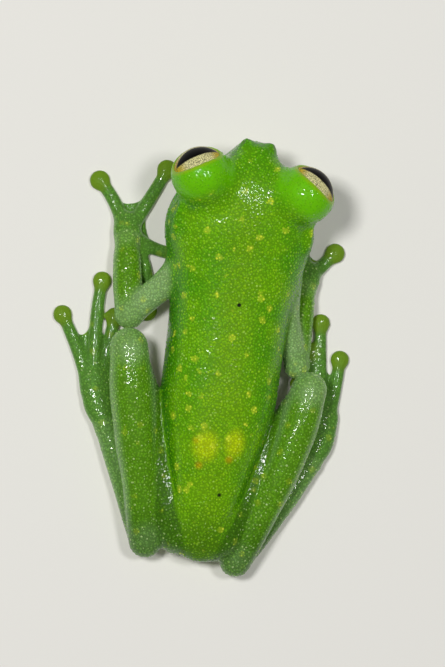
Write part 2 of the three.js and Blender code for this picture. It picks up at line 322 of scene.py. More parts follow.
@dataclass(frozen=True)
class Barrel:
    """A trunk or a head: rounded cross-sections along Y, with a rounded end where one is stated."""

    stations: tuple[Station, ...]
    end_round: float
    front: float = -math.inf
    rear: float = math.inf
    power_above: float = 2.3
    power_below: float = 2.6
    deepest: float = 3.0

    def profile(self, name: str, y: np.ndarray) -> np.ndarray:
        """One size along the body, on a smooth curve through the stations' values.

        Args:
            name: The size's name in Station.
            y: The places along the body.

        Returns:
            The size at each place.
        """
        place = np.array([s.y for s in self.stations])
        value = np.array([getattr(s, name) for s in self.stations])
        before = np.r_[place[:1], place[:-1]], np.r_[value[:1], value[:-1]]
        after = np.r_[place[1:], place[-1:]], np.r_[value[1:], value[-1:]]
        slope = (after[1] - before[1]) / (after[0] - before[0])
        inner = np.clip(y, place[0], place[-1])
        i = np.clip(np.searchsorted(place, inner, side="right") - 1, 0, len(place) - 2)
        span = place[i + 1] - place[i]
        t = (inner - place[i]) / span
        return (
            (2 * t**3 - 3 * t**2 + 1) * value[i]
            + (t**3 - 2 * t**2 + t) * span * slope[i]
            + (3 * t**2 - 2 * t**3) * value[i + 1]
            + (t**3 - t**2) * span * slope[i + 1]
        )

    def box(self) -> Box:
        """The room that the shape takes.

        Returns:
            The lowest and the highest corner.
        """
        half = max(s.half for s in self.stations)
        base = min(s.base for s in self.stations)
        top = max(s.top for s in self.stations)
        return np.array([-half, self.front, base]), np.array([half, self.rear, top])

    def field(self, at: Places) -> np.ndarray:
        """The barrel's field.

        Args:
            at: The places where it is wanted.

        Returns:
            The field there.
        """
        x, y, z = at
        belt = self.profile("belt", y)
        dz = z - belt
        height = np.where(dz > 0, self.profile("top", y) - belt, belt - self.profile("base", y))
        power = np.where(dz > 0, self.power_above, self.power_below)
        wide = np.abs(x) / self.profile("half", y)
        share = (wide**power + (np.abs(dz) / height) ** power) ** (1.0 / power)
        into_front = np.maximum((self.front + self.end_round - y) / self.end_round, 0.0)
        into_rear = np.maximum((y - self.rear + self.end_round) / self.end_round, 0.0)
        whole = length_of(share, into_front, into_rear) + TINY
        away = length_of(x, dz, into_front * self.end_round, into_rear * self.end_round)
        return np.maximum(away * (1.0 - 1.0 / whole), -self.deepest)


@dataclass(frozen=True)
class Fillet:
    """How softly a limb joins its neighbour: broadly round its joint, and in a crease elsewhere."""

    joint: Point
    reach: float
    blend: float
    crease: float = 0.12
    full: float = 0.4

    def at(self, places: Places) -> np.ndarray:
        """The blend at places.

        Args:
            places: The places where it is wanted.

        Returns:
            How far the fillet reaches there.
        """
        away = length_of(*from_centre(places, self.joint))
        share = smoothstep(self.reach, self.full * self.reach, away)
        return self.crease + (self.blend - self.crease) * share


@dataclass
class Lattice:
    """The places where the frog's field is worked out, closer together where the shape is fine."""

    x: np.ndarray
    y: np.ndarray
    z: np.ndarray
    values: np.ndarray = field(init=False)

    def __post_init__(self) -> None:
        """Starts with empty space everywhere."""
        shape = (len(self.x), len(self.y), len(self.z))
        self.values = np.full(shape, FAR, np.float32)

    def block(self, low: np.ndarray, high: np.ndarray, margin: float) -> tuple[tuple[slice, ...], Places]:
        """The part of the lattice round a box.

        Args:
            low: The box's lowest corner.
            high: Its highest corner.
            margin: How far past the box to go.

        Returns:
            The slices of the part, and its places ready to broadcast.
        """
        cut = []
        for places, a, b in zip((self.x, self.y, self.z), low - margin, high + margin):
            cut.append(slice(int(np.searchsorted(places, a)), int(np.searchsorted(places, b))))
        return tuple(cut), (
            self.x[cut[0], None, None],
            self.y[None, cut[1], None],
            self.z[None, None, cut[2]],
        )

    def surface(self) -> tuple[np.ndarray, np.ndarray]:
        """The surface where the field is zero, as a net of quads.

        Returns:
            The vertices and the corners of each quad, with faces outwards.
        """
        inside = self.values < 0
        full = tuple(n - 1 for n in inside.shape)
        corners = [(i, j, k) for i in (0, 1) for j in (0, 1) for k in (0, 1)]
        count = np.zeros(full, np.uint8)
        for i, j, k in corners:
            count += inside[i : full[0] + i, j : full[1] + j, k : full[2] + k]
        active = (count > 0) & (count < len(corners))
        cells = np.argwhere(active)
        index = np.full(full, -1, np.int64)
        index[active] = np.arange(len(cells))
        spots, levels = [], []
        for corner in corners:
            i, j, k = (cells + corner).T
            levels.append(self.values[i, j, k].astype(float))
            spots.append(np.stack([self.x[i], self.y[j], self.z[k]], axis=1))
        total, hits = np.zeros((len(cells), 3)), np.zeros(len(cells))
        for a, first in enumerate(corners):
            for b, second in enumerate(corners):
                if b <= a or sum(p != q for p, q in zip(first, second)) != 1:
                    continue
                crossed = (levels[a] < 0) != (levels[b] < 0)
                gap = np.where(crossed, levels[a] - levels[b], 1.0)
                t = np.where(crossed, levels[a] / gap, 0.0)[:, None]
                total += np.where(crossed[:, None], spots[a] + t * (spots[b] - spots[a]), 0.0)
                hits += crossed
        return total / hits[:, None], self.quads(inside, index)

    @staticmethod
    def quads(inside: np.ndarray, index: np.ndarray) -> np.ndarray:
        """One quad across each lattice edge that leaves the flesh.

        Args:
            inside: Whether each lattice place is in the flesh.
            index: Each cell's vertex, or -1.

        Returns:
            The corners of each quad.
        """
        made = []
        for axis in range(3):
            u, v = (axis + 1) % 3, (axis + 2) % 3
            low = np.take(inside, range(inside.shape[axis] - 1), axis=axis)
            high = np.take(inside, range(1, inside.shape[axis]), axis=axis)
            edges = np.argwhere(low != high)
            inner = (edges[:, u] > 0) & (edges[:, v] > 0)
            inner &= (edges[:, u] < index.shape[u]) & (edges[:, v] < index.shape[v])
            edges = edges[inner]
            leaving = low[tuple(edges.T)]
            ring = []
            for du, dv in ((-1, -1), (0, -1), (0, 0), (-1, 0)):
                cell = edges.copy()
                cell[:, u] += du
                cell[:, v] += dv
                ring.append(index[tuple(cell.T)])
            ring = np.stack(ring, axis=1)
            made.append(np.where(leaving[:, None], ring, ring[:, ::-1]))
        return np.concatenate(made)


# The frog's parts, in millimetres, with +Y to the rear and +X to the frog's left


@dataclass(frozen=True)
class EyeSizes:
    """The eye in the head's frame, and the lids round it."""

    out: float = 3.3
    up: float = 6.4
    ball: float = 1.73
    lid: float = 1.86
    turn: float = math.radians(33)
    lift: float = math.radians(24)
    wide: float = math.radians(60)
    tall: float = math.radians(47)
    cut_over: float = 0.5
    cut_floor: float = 0.8
    cut_blend: float = 0.04
    rim: float = 0.07
    rim_lift: float = 0.03
    rim_blend: float = 0.06

    def centre(self, side: Side) -> np.ndarray:
        """The middle of the eyeball in the head's frame."""
        return np.array(side.flip((self.out, 0.0, self.up)))

    def axes(self, side: Side, lift: float | None = None) -> tuple[np.ndarray, np.ndarray, np.ndarray]:
        """The directions that an eye is built on.

        Args:
            side: The eye's side.
            lift: How far it looks up, where that differs from its lids.

        Returns:
            The way it looks, and the level and the steep direction across it.
        """
        lift = self.lift if lift is None else lift
        flat = np.array([side * math.sin(self.turn), -math.cos(self.turn), 0.0])
        ahead = flat * math.cos(lift) + np.array([0, 0, math.sin(lift)])
        level = np.cross(ahead, [0, 0, 1])
        level /= np.linalg.norm(level)
        return ahead, level, np.cross(level, ahead)


@dataclass(frozen=True)
class Head:
    """The head: a blunt wedge with lids, nostrils, a mouth line and drums.

    Everything but place, low and high is given in the head's own frame, and for the left side.
    """

    place: Point = (-0.065, -10.46, 0.0)
    yaw: float = math.radians(-3.5)
    low: Point = (-6.0, -14.0, 0.0)
    high: Point = (6.0, -4.6, 8.8)
    eye: EyeSizes = EyeSizes()
    barrel: Barrel = Barrel(
        stations=(
            Station(-2.7, 0.95, 5.9, 4.5, 3.0),
            Station(-2.0, 1.45, 6.3, 4.3, 2.6),
            Station(-1.2, 2.2, 6.65, 4.1, 2.2),
            Station(-0.2, 3.3, 6.95, 3.9, 1.85),
            Station(1.0, 4.2, 7.05, 3.7, 1.5),
            Station(2.4, 4.62, 6.95, 3.6, 1.15),
            Station(3.6, 4.6, 6.8, 3.5, 0.9),
            Station(5.0, 4.38, 6.6, 3.3, 0.6),
        ),
        end_round=0.5,
        front=-2.75,
    )
    cheek: Ball = Ball((2.75, -1.75, 4.9), (0.8, 0.9, 0.5))
    cheek_blend: float = 0.7
    lid_blend: float = 1.15
    nostril: Ball = Ball((0.74, -2.4, 5.42), (0.36, 0.36, 0.36))
    nostril_blend: float = 0.45
    pit_shift: Point = (0.3, -0.12, 0.2)
    pit_radius: float = 0.12
    pit_blend: float = 0.08
    mouth_height: float = 4.15
    mouth_dips: Band = (0.25, 0.75)
    mouth_runs: tuple[Band, Band] = ((-2.6, 0.0), (0.0, 3.0))
    mouth_fade: Band = (2.6, 1.4)
    mouth_step: float = 0.1
    mouth_soft: float = 0.07
    drum: Point = (4.3, 2.9, 4.7)
    drum_radius: float = 0.55
    ring_height: float = 0.05
    ring_width: float = 0.14
    dish_depth: float = 0.04
    dish_radius: float = 0.2
    fold: Sweep = Sweep(((3.8, 1.5, 5.9), (4.15, 2.9, 5.45), (3.95, 4.3, 4.3)), (0.24, 0.26, 0.2), steps=6)
    fold_blend: float = 0.4

    def local(self, at: Places) -> Places:
        """Turns places into the head's own frame.

        Args:
            at: The places in the frog's frame.

        Returns:
            The same places in the head's.
        """
        dx, dy = at[0] - self.place[0], at[1] - self.place[1]
        c, s = math.cos(self.yaw), math.sin(self.yaw)
        return dx * c + dy * s, dy * c - dx * s, at[2] - self.place[2]

    def to_frog(self, spot: np.ndarray) -> np.ndarray:
        """Turns places into the frog's frame.

        Args:
            spot: A place or a row of places in the head's frame.

        Returns:
            The same in the frog's.
        """
        c, s = math.cos(self.yaw), math.sin(self.yaw)
        turned = spot @ np.array([[c, s, 0], [-s, c, 0], [0, 0, 1]])
        return turned + np.array(self.place)

    def mouth_level(self, y: np.ndarray) -> np.ndarray:
        """The height of the mouth's line, which dips towards its corner."""
        lip, corner = (d * smoothstep(*run, y) for d, run in zip(self.mouth_dips, self.mouth_runs))
        return self.mouth_height - lip - corner

    def box(self) -> Box:
        """The lowest and the highest corner of the room for head and eyes."""
        return np.array(self.low), np.array(self.high)

    def opening(self, side: Side, local: Places) -> tuple[np.ndarray, np.ndarray]:
        """Sees places from the middle of an eye.

        Args:
            side: The eye's side.
            local: The places in the head's frame.

        Returns:
            How far past the lids' opening each is, along the ball, and its distance from the middle.
        """
        dx, dy, dz = from_centre(local, self.eye.centre(side))
        away = length_of(dx, dy, dz) + TINY
        forward, right, above = (dx * a[0] + dy * a[1] + dz * a[2] for a in self.eye.axes(side))
        off = length_of(right, above) + TINIER
        angle = np.arctan2(off, forward)
        limit = 1.0 / length_of(right / off / self.eye.wide, above / off / self.eye.tall)
        return (angle - limit) * self.eye.ball, away

    def field(self, at: Places) -> np.ndarray:
        """The head's field, without the openings of the lids.

        Args:
            at: The places where it is wanted.

        Returns:
            The field there.
        """
        local = self.local(at)
        made = self.barrel.field(local)
        for side in Side:
            made = carve(made, self.cheek.on(side).field(local), self.cheek_blend)
        jaw = smoothstep(self.mouth_soft, -self.mouth_soft, local[2] - self.mouth_level(local[1]))
        made = made + self.mouth_step * jaw * smoothstep(*self.mouth_fade, local[1])
        for side in Side:
            lid = Ball(tuple(self.eye.centre(side)), (self.eye.lid,) * 3)
            made = join(made, lid.field(local), self.lid_blend)
            made = join(made, self.nostril.on(side).field(local), self.nostril_blend)
            made = carve(made, self.pit(side, self.pit_radius).field(local), self.pit_blend)
            made = self.with_drum(made, side, local)
        return made

    def pit(self, side: Side, radius: float) -> Ball:
        """The nostril's opening, on the outer side of its swelling."""
        x, y, z = (a + b for a, b in zip(self.nostril.centre, self.pit_shift))
        return Ball(side.flip((x, y, z)), (radius,) * 3)

    def with_drum(self, made: np.ndarray, side: Side, local: Places) -> np.ndarray:
        """Adds the ear drum and the fold that runs over it to the shoulder.

        Args:
            made: The head's field so far.
            side: The drum's side.
            local: The places in the head's frame.

        Returns:
            The field with both.
        """
        away = length_of(*from_centre(local, side.flip(self.drum)))
        ring = self.ring_height * hump(away - self.drum_radius, self.ring_width)
        dish = self.dish_depth * smoothstep(self.drum_radius, self.dish_radius, away)
        return join(made - ring + dish, self.fold.on(side).field(local), self.fold_blend)

    def open_lids(self, made: np.ndarray, at: Places) -> np.ndarray:
        """Cuts the lids open round the eyes and gives them a rounded rim.

        Args:
            made: The frog's field so far.
            at: The places it is given for.

        Returns:
            The field with the openings.
        """
        local, eye = self.local(at), self.eye
        for side in Side:
            past, away = self.opening(side, local)
            beyond = np.maximum(away - eye.lid - eye.cut_over, eye.ball * eye.cut_floor - away)
            hole = np.maximum(past, beyond)
            made = carve(made, hole, eye.cut_blend)
            rim = length_of(past, away - eye.ball - eye.rim_lift) - eye.rim
            made = join(made, rim, eye.rim_blend)
        return made


@dataclass(frozen=True)
class Trunk:
    """The trunk, with the swellings of the hips and a shallow line along the rump."""

    barrel: Barrel = Barrel(
        stations=(
            Station(-8.0, 4.5, 6.6, 3.5, 1.0),
            Station(-5.5, 4.25, 6.55, 3.0, 0.35),
            Station(-2.5, 3.75, 6.2, 2.7, -0.1),
            Station(0.5, 3.65, 5.95, 2.6, -0.15),
            Station(3.0, 3.6, 5.75, 2.6, -0.15),
            Station(5.5, 3.15, 5.4, 2.6, -0.1),
            Station(8.0, 2.5, 4.85, 2.6, 0.0),
            Station(10.5, 1.85, 4.2, 2.5, 0.4),
            Station(12.8, 1.3, 3.5, 2.3, 1.0),
        ),
        end_round=1.6,
        rear=13.3,
    )
    ridge_height: float = 0.09
    ridge_width: float = 0.35
    ridge_starts: Band = (5.0, 7.5)
    ridge_ends: Band = (13.2, 11.5)
    hip: Flat = (1.15, 6.2)
    hip_reach: Flat = (0.7, 1.4)
    hip_height: float = 0.1
    upper: Band = (3.0, 4.5)

    def field(self, at: Places) -> np.ndarray:
        """The trunk's field.

        Args:
            at: The places where it is wanted.

        Returns:
            The field there.
        """
        x, y, z = at
        ridge = self.ridge_height * hump(x, self.ridge_width)
        ridge = ridge * smoothstep(*self.ridge_starts, y) * smoothstep(*self.ridge_ends, y)
        (out, back), (wide, long) = self.hip, self.hip_reach
        hips = sum(np.exp(-(((x - side * out) / wide) ** 2) - ((y - back) / long) ** 2) for side in Side)
        return self.barrel.field(at) - smoothstep(*self.upper, z) * (ridge + self.hip_height * hips)


@dataclass(frozen=True)
class Digits:
    """A hand or a foot: a pad, its digits from the inside outwards, and webs between the outer ones.

    The digits' paths are seen from above, and levels holds the heights of root, middle and tip.
    """

    pad: Sweep
    paths: tuple[tuple[Flat, Flat, Flat], ...]
    disc: float
    webs: tuple[tuple[int, int, float], ...]
    levels: Point = (0.5, 0.28, 0.26)
    wide: tuple[float, ...] = (0.54, 0.43, 0.41, 0.37)
    tall: tuple[float, ...] = (0.44, 0.36, 0.34, 0.3)
    disc_half_thick: float = 0.29
    disc_level: float = 0.25
    disc_blend: float = 0.2
    digit_blend: float = 0.3
    web_blend: float = 0.12

    def digits(self) -> list[Sweep]:
        """The digits without their discs."""
        lines = [tuple((*spot, level) for spot, level in zip(path, self.levels)) for path in self.paths]
        return [Sweep(line, self.wide, self.tall, steps=8) for line in lines]

    def box(self) -> Box:
        """The room that the shape takes.

        Returns:
            The lowest and the highest corner.
        """
        boxes = [self.pad.box()] + [digit.box() for digit in self.digits()]
        low = np.min([b[0] for b in boxes], axis=0)
        high = np.max([b[1] for b in boxes], axis=0)
        return low - self.disc, high + self.disc

    def discs(self) -> list[Ball]:
        """The round adhesive discs at the digits' ends."""
        radii = (self.disc, self.disc, self.disc_half_thick)
        return [Ball((*path[-1], self.disc_level), radii) for path in self.paths]

    def field(self, at: Places) -> np.ndarray:
        """The field of the whole hand or foot.

        Args:
            at: The places where it is wanted.

        Returns:
            The field there.
        """
        made = self.pad.field(at)
        digits = self.digits()
        for digit, disc in zip(digits, self.discs()):
            made = join(made, join(digit.field(at), disc.field(at), self.disc_blend), self.digit_blend)
        for a, b, reach in self.webs:
            made = join(made, Web(digits[a], digits[b], reach).field(at), self.web_blend)
        return made


@dataclass(frozen=True)
class Limb:
    """One length of a leg or an arm with the way it joins what carries it."""

    shape: Sweep | Digits
    fillet: Fillet


def arm(side: Side) -> dict[str, Limb]:
    """The upper arm, forearm and hand of one side.

    Args:
        side: The side; the left arm is bent out and the right one tucked in.

    Returns:
        The lengths by name, from the shoulder outwards.
    """
    if side is Side.LEFT:
        upper = Sweep(((2.9, -5.0, 3.2), (4.6, -3.3, 2.5), (6.1, -1.6, 1.65)), (1.2, 0.86, 0.85))
        fore = Sweep(((6.1, -1.6, 1.6), (6.5, -4.0, 1.25), (6.75, -6.2, 0.85)), (0.88, 0.92, 0.88, 0.72))
        pad = Sweep(
            ((6.75, -6.1, 0.75), (6.8, -6.7, 0.68), (6.85, -7.3, 0.6)),
            wide=(0.72, 0.86, 0.7), tall=(0.7, 0.62, 0.5),
        )
        paths = (
            ((6.4, -6.2), (5.2, -4.2), (4.87, -1.9)),
            ((6.4, -6.5), (5.0, -5.9), (3.5, -5.7)),
            ((6.6, -7.0), (5.6, -8.9), (4.72, -10.9)),
            ((7.0, -7.0), (7.8, -8.5), (8.85, -9.7)),
        )
    else:
        upper = Sweep(((-2.9, -4.6, 3.0), (-3.9, -1.9, 2.3), (-4.75, 0.35, 1.65)), (1.2, 0.8, 0.72))
        fore = Sweep(((-4.85, 0.35, 1.6), (-4.75, -2.2, 1.25), (-4.85, -4.5, 0.85)), (0.76, 0.82, 0.8, 0.66))
        pad = Sweep(
            ((-4.85, -4.4, 0.75), (-4.9, -5.0, 0.68), (-4.95, -5.6, 0.6)),
            wide=(0.66, 0.82, 0.68), tall=(0.66, 0.6, 0.5),
        )
        paths = (
            ((-4.6, -4.5), (-3.6, -3.3), (-2.9, -1.9)),
            ((-4.6, -4.8), (-3.5, -5.2), (-2.3, -5.9)),
            ((-4.8, -5.3), (-4.4, -7.2), (-3.9, -9.2)),
            ((-5.1, -5.3), (-5.9, -6.2), (-6.55, -7.0)),
        )
    hand = Digits(pad, paths, disc=0.64, webs=((1, 2, 0.5), (2, 3, 0.6)))
    return {
        "upper_arm": Limb(upper, Fillet(upper.path[0], 2.4, 0.9)),
        "forearm": Limb(fore, Fillet(fore.path[0], 1.5, 0.4)),
        "hand": Limb(hand, Fillet(fore.path[2], 1.2, 0.3)),
    }


def leg(side: Side) -> dict[str, Limb]:
    """The thigh, shin, tarsus and foot of one side, folded back along the body.

    Args:
        side: The side.

    Returns:
        The lengths by name, from the hip outwards.
    """
    if side is Side.LEFT:
        thigh = Sweep(((1.5, 11.4, 1.9), (3.9, 6.0, 1.9), (5.9, 0.6, 2.5)), (1.55, 1.5, 1.4, 1.05))
        shin = Sweep(((6.0, 0.45, 2.9), (4.85, 6.0, 2.75), (3.35, 12.4, 1.75)), (1.2, 1.42, 1.35, 1.1, 1.05))
        tarsus = Sweep(((3.5, 12.3, 1.1), (5.2, 8.7, 0.95), (6.6, 5.6, 0.75)), (0.85, 0.75, 0.72))
        pad = Sweep(
            ((6.6, 5.5, 0.75), (7.25, 4.2, 0.66), (7.6, 2.9, 0.5)),
            wide=(0.72, 0.95, 0.9), tall=(0.7, 0.62, 0.45),
        )
        paths = (
            ((6.9, 4.3), (6.0, 3.2), (5.3, 1.9)),
            ((7.0, 3.9), (6.3, 2.0), (5.9, 0.2)),
            ((7.2, 3.5), (7.0, 0.8), (6.85, -1.3)),
            ((7.5, 3.3), (7.95, -0.3), (7.93, -3.45)),
            ((7.9, 3.4), (8.85, 1.2), (10.15, -1.05)),
        )
    else:
        thigh = Sweep(((-1.3, 11.6, 1.9), (-3.5, 6.8, 1.9), (-5.55, 1.9, 2.5)), (1.5, 1.4, 1.3, 1.0))
        shin = Sweep(
            ((-5.6, 1.75, 2.9), (-4.5, 7.0, 2.75), (-2.45, 13.0, 1.75)),
            wide=(1.12, 1.25, 1.18, 1.02, 1.0),
        )
        tarsus = Sweep(((-2.7, 12.9, 1.1), (-4.8, 9.6, 0.95), (-6.5, 6.4, 0.75)), (0.85, 0.75, 0.72))
        pad = Sweep(
            ((-6.5, 6.3, 0.75), (-6.95, 5.0, 0.66), (-7.15, 3.5, 0.5)),
            wide=(0.72, 0.92, 0.86), tall=(0.7, 0.62, 0.45),
        )
        paths = (
            ((-6.6, 4.9), (-5.9, 4.0), (-5.2, 3.1)),
            ((-6.7, 4.4), (-5.9, 2.9), (-5.3, 1.5)),
            ((-6.8, 3.9), (-6.1, 1.2), (-5.75, -0.6)),
            ((-7.0, 3.8), (-6.5, 0.4), (-6.2, -2.5)),
            ((-7.3, 3.8), (-7.6, 1.6), (-7.7, -0.35)),
        )
    foot = Digits(pad, paths, disc=0.6, webs=((1, 2, 0.45), (2, 3, 0.7), (3, 4, 0.82)))
    return {
        "thigh": Limb(thigh, Fillet(thigh.path[0], 3.4, 0.9, 0.18)),
        "shin": Limb(shin, Fillet(shin.path[0], 1.6, 0.4)),
        "tarsus": Limb(tarsus, Fillet(tarsus.path[0], 1.5, 0.35)),
        "foot": Limb(foot, Fillet(tarsus.path[2], 1.4, 0.3)),
    }


@dataclass(frozen=True)
class MaskSizes:
    """Where the skin's masks lie, and how strong they are.

    A pair says where a mask starts to show and where it is full: along the body, in distance from an
    edge or a middle, or in how far the skin faces up, from 0 on the underside to 1 on top.
    """

    limb: Band = (-0.2, 0.3)
    foot: Band = (-0.1, 0.2)
    tarsus_as_foot: float = 0.7
    pale: Band = (-0.5, 0.5)
    joint: Band = (1.6, 0.3)
    joint_share: float = 0.8
    thigh: Band = (-0.1, 0.25)
    rump: Band = (9.0, 12.5)
    rump_share: float = 0.8
    tip: Band = (0.4, -0.05)
    lid_height: Band = (2.3, 1.9)
    lid_reach: Band = (2.5, 1.3)
    rim_height: Band = (2.1, 1.92)
    rim_reach: Band = (0.24, 0.08)
    patches: tuple[tuple[Flat, Flat], ...] = (((0.72, 5.95), (0.95, 1.15)), ((-1.05, 5.6), (0.75, 1.05)))
    patch: Band = (1.2, 0.3)
    spine_width: float = 1.4
    spine_starts: Band = (-12.5, -9.0)
    loin: float = 4.6
    loin_reach: Flat = (1.9, 2.6)
    loin_share: float = 0.7
    top: Band = (0.6, 0.72)
    mouth_width: float = 0.08
    # The nostrils' pits, darkened as painted shade
    mouth_corner: Band = (3.2, 2.4)
    pit_radius: float = 0.15
    pit: Band = (0.06, -0.04)
    under: Band = (0.5, 0.34)
    under_foot: Band = (0.36, 0.2)
    face: Band = (4.6, 3.2)
    jaw: Band = (-0.05, -0.5)
    grain: Band = (0.42, 0.6)
    grain_face: Band = (0.1, 0.3)
    grain_level: Band = (0.55, 0.9)
    snout: Band = (-1.0, -2.4)
    bare_rim: float = 2.0
    bare_lids: float = 0.3
    bare_snout: float = 0.6
    bare_foot: float = 0.35


class Skin:
    """The frog's whole skin as one mesh, with the masks that its markings follow."""

    neck: Band = (-7.4, -4.9)
    neck_overlap: float = 0.3
    trunk_margin: float = 1.5
    head_margin: float = 0.5
    limb_margin: float = 0.2
    floor_round: float = 0.1

    def __init__(self, shift: np.ndarray) -> None:
        """Builds the frog's parts.

        Args:
            shift: The way from the working frame to the model's, in millimetres.
        """
        self.shift = shift
        self.head = Head()
        self.trunk = Trunk()
        self.limbs: dict[str, Limb] = {}
        for side in Side:
            for part, limb in {**arm(side), **leg(side)}.items():
                self.limbs[f"{part}_{side.word}"] = limb

    @staticmethod
    def spaced(bounds: tuple[Band, ...], end: float) -> np.ndarray:
        """Places along one axis.

        Args:
            bounds: Each stretch's start and spacing.
            end: Where the last stretch ends.

        Returns:
            The places, closer in some stretches than in others.
        """
        ends = [start for start, _ in bounds[1:]] + [end]
        runs = [np.arange(start, stop, step) for (start, step), stop in zip(bounds, ends)]
        return np.concatenate(runs).astype(np.float32)

    def lattice(self) -> Lattice:
        """The lattice, fine at the eyes and along the digits.

        Returns:
            The lattice, still empty.
        """
        return Lattice(
            x=self.spaced(((-9.0, 0.13),), 11.4),
            y=self.spaced(((-14.2, 0.1), (-8.0, 0.135)), 14.8),
            z=self.spaced(((-0.3, 0.085), (0.9, 0.14), (4.6, 0.1)), 9.0),
        )

    def fill(self, grid: Lattice) -> None:
        """Works out the frog's field over the lattice.

        Args:
            grid: The lattice, empty so far.
        """
        low, high = self.trunk.barrel.box()
        low[1] = self.neck[0] - self.neck_overlap
        cut, places = grid.block(low, high, self.trunk_margin)
        grid.values[cut] = self.trunk.field(places)
        head_cut, head_places = grid.block(*self.head.box(), self.head_margin)
        share = smoothstep(*self.neck, head_places[1])
        grid.values[head_cut] = self.head.field(head_places) * (1 - share) + grid.values[head_cut] * share
        for limb in self.limbs.values():
            low, high = limb.shape.box()
            cut, places = grid.block(low, high, limb.fillet.blend + self.limb_margin)
            grid.values[cut] = join(grid.values[cut], limb.shape.field(places), limb.fillet.at(places))
        grid.values[head_cut] = self.head.open_lids(grid.values[head_cut], head_places)
        grid.values[:] = carve(grid.values, grid.z[None, None, :], self.floor_round)

    def build(self) -> bpy.types.Object:
        """Makes the skin's mesh with its masks.

        Returns:
            The skin.
        """
        grid = self.lattice()
        self.fill(grid)
        spots, quads = grid.surface()
        spots = relaxed(spots, quads, rounds=2)
        spots[:, 2] = np.maximum(spots[:, 2], 0.0)
        skin = mesh_object("skin", (spots + self.shift) * MM, quads)
        normal = np.zeros(len(spots) * 3, np.float32)
        skin.data.vertices.foreach_get("normal", normal)
        up = 0.5 + 0.5 * normal.reshape(-1, 3)[:, 2]
        Masks(self, tuple(spots.T), up).store(skin)
        return skin

    def core(self, at: Places) -> np.ndarray:
        """The field of head and trunk, without the swellings of the hips, at a row of places."""
        share = smoothstep(*self.neck, at[1])
        return self.head.field(at) * (1 - share) + self.trunk.barrel.field(at) * share

    def nearest(self, part: str, at: Places) -> np.ndarray:
        """The field of one kind of part, on the side where it is nearer."""
        return np.min([self.limbs[f"{part}_{side.word}"].shape.field(at) for side in Side], axis=0)


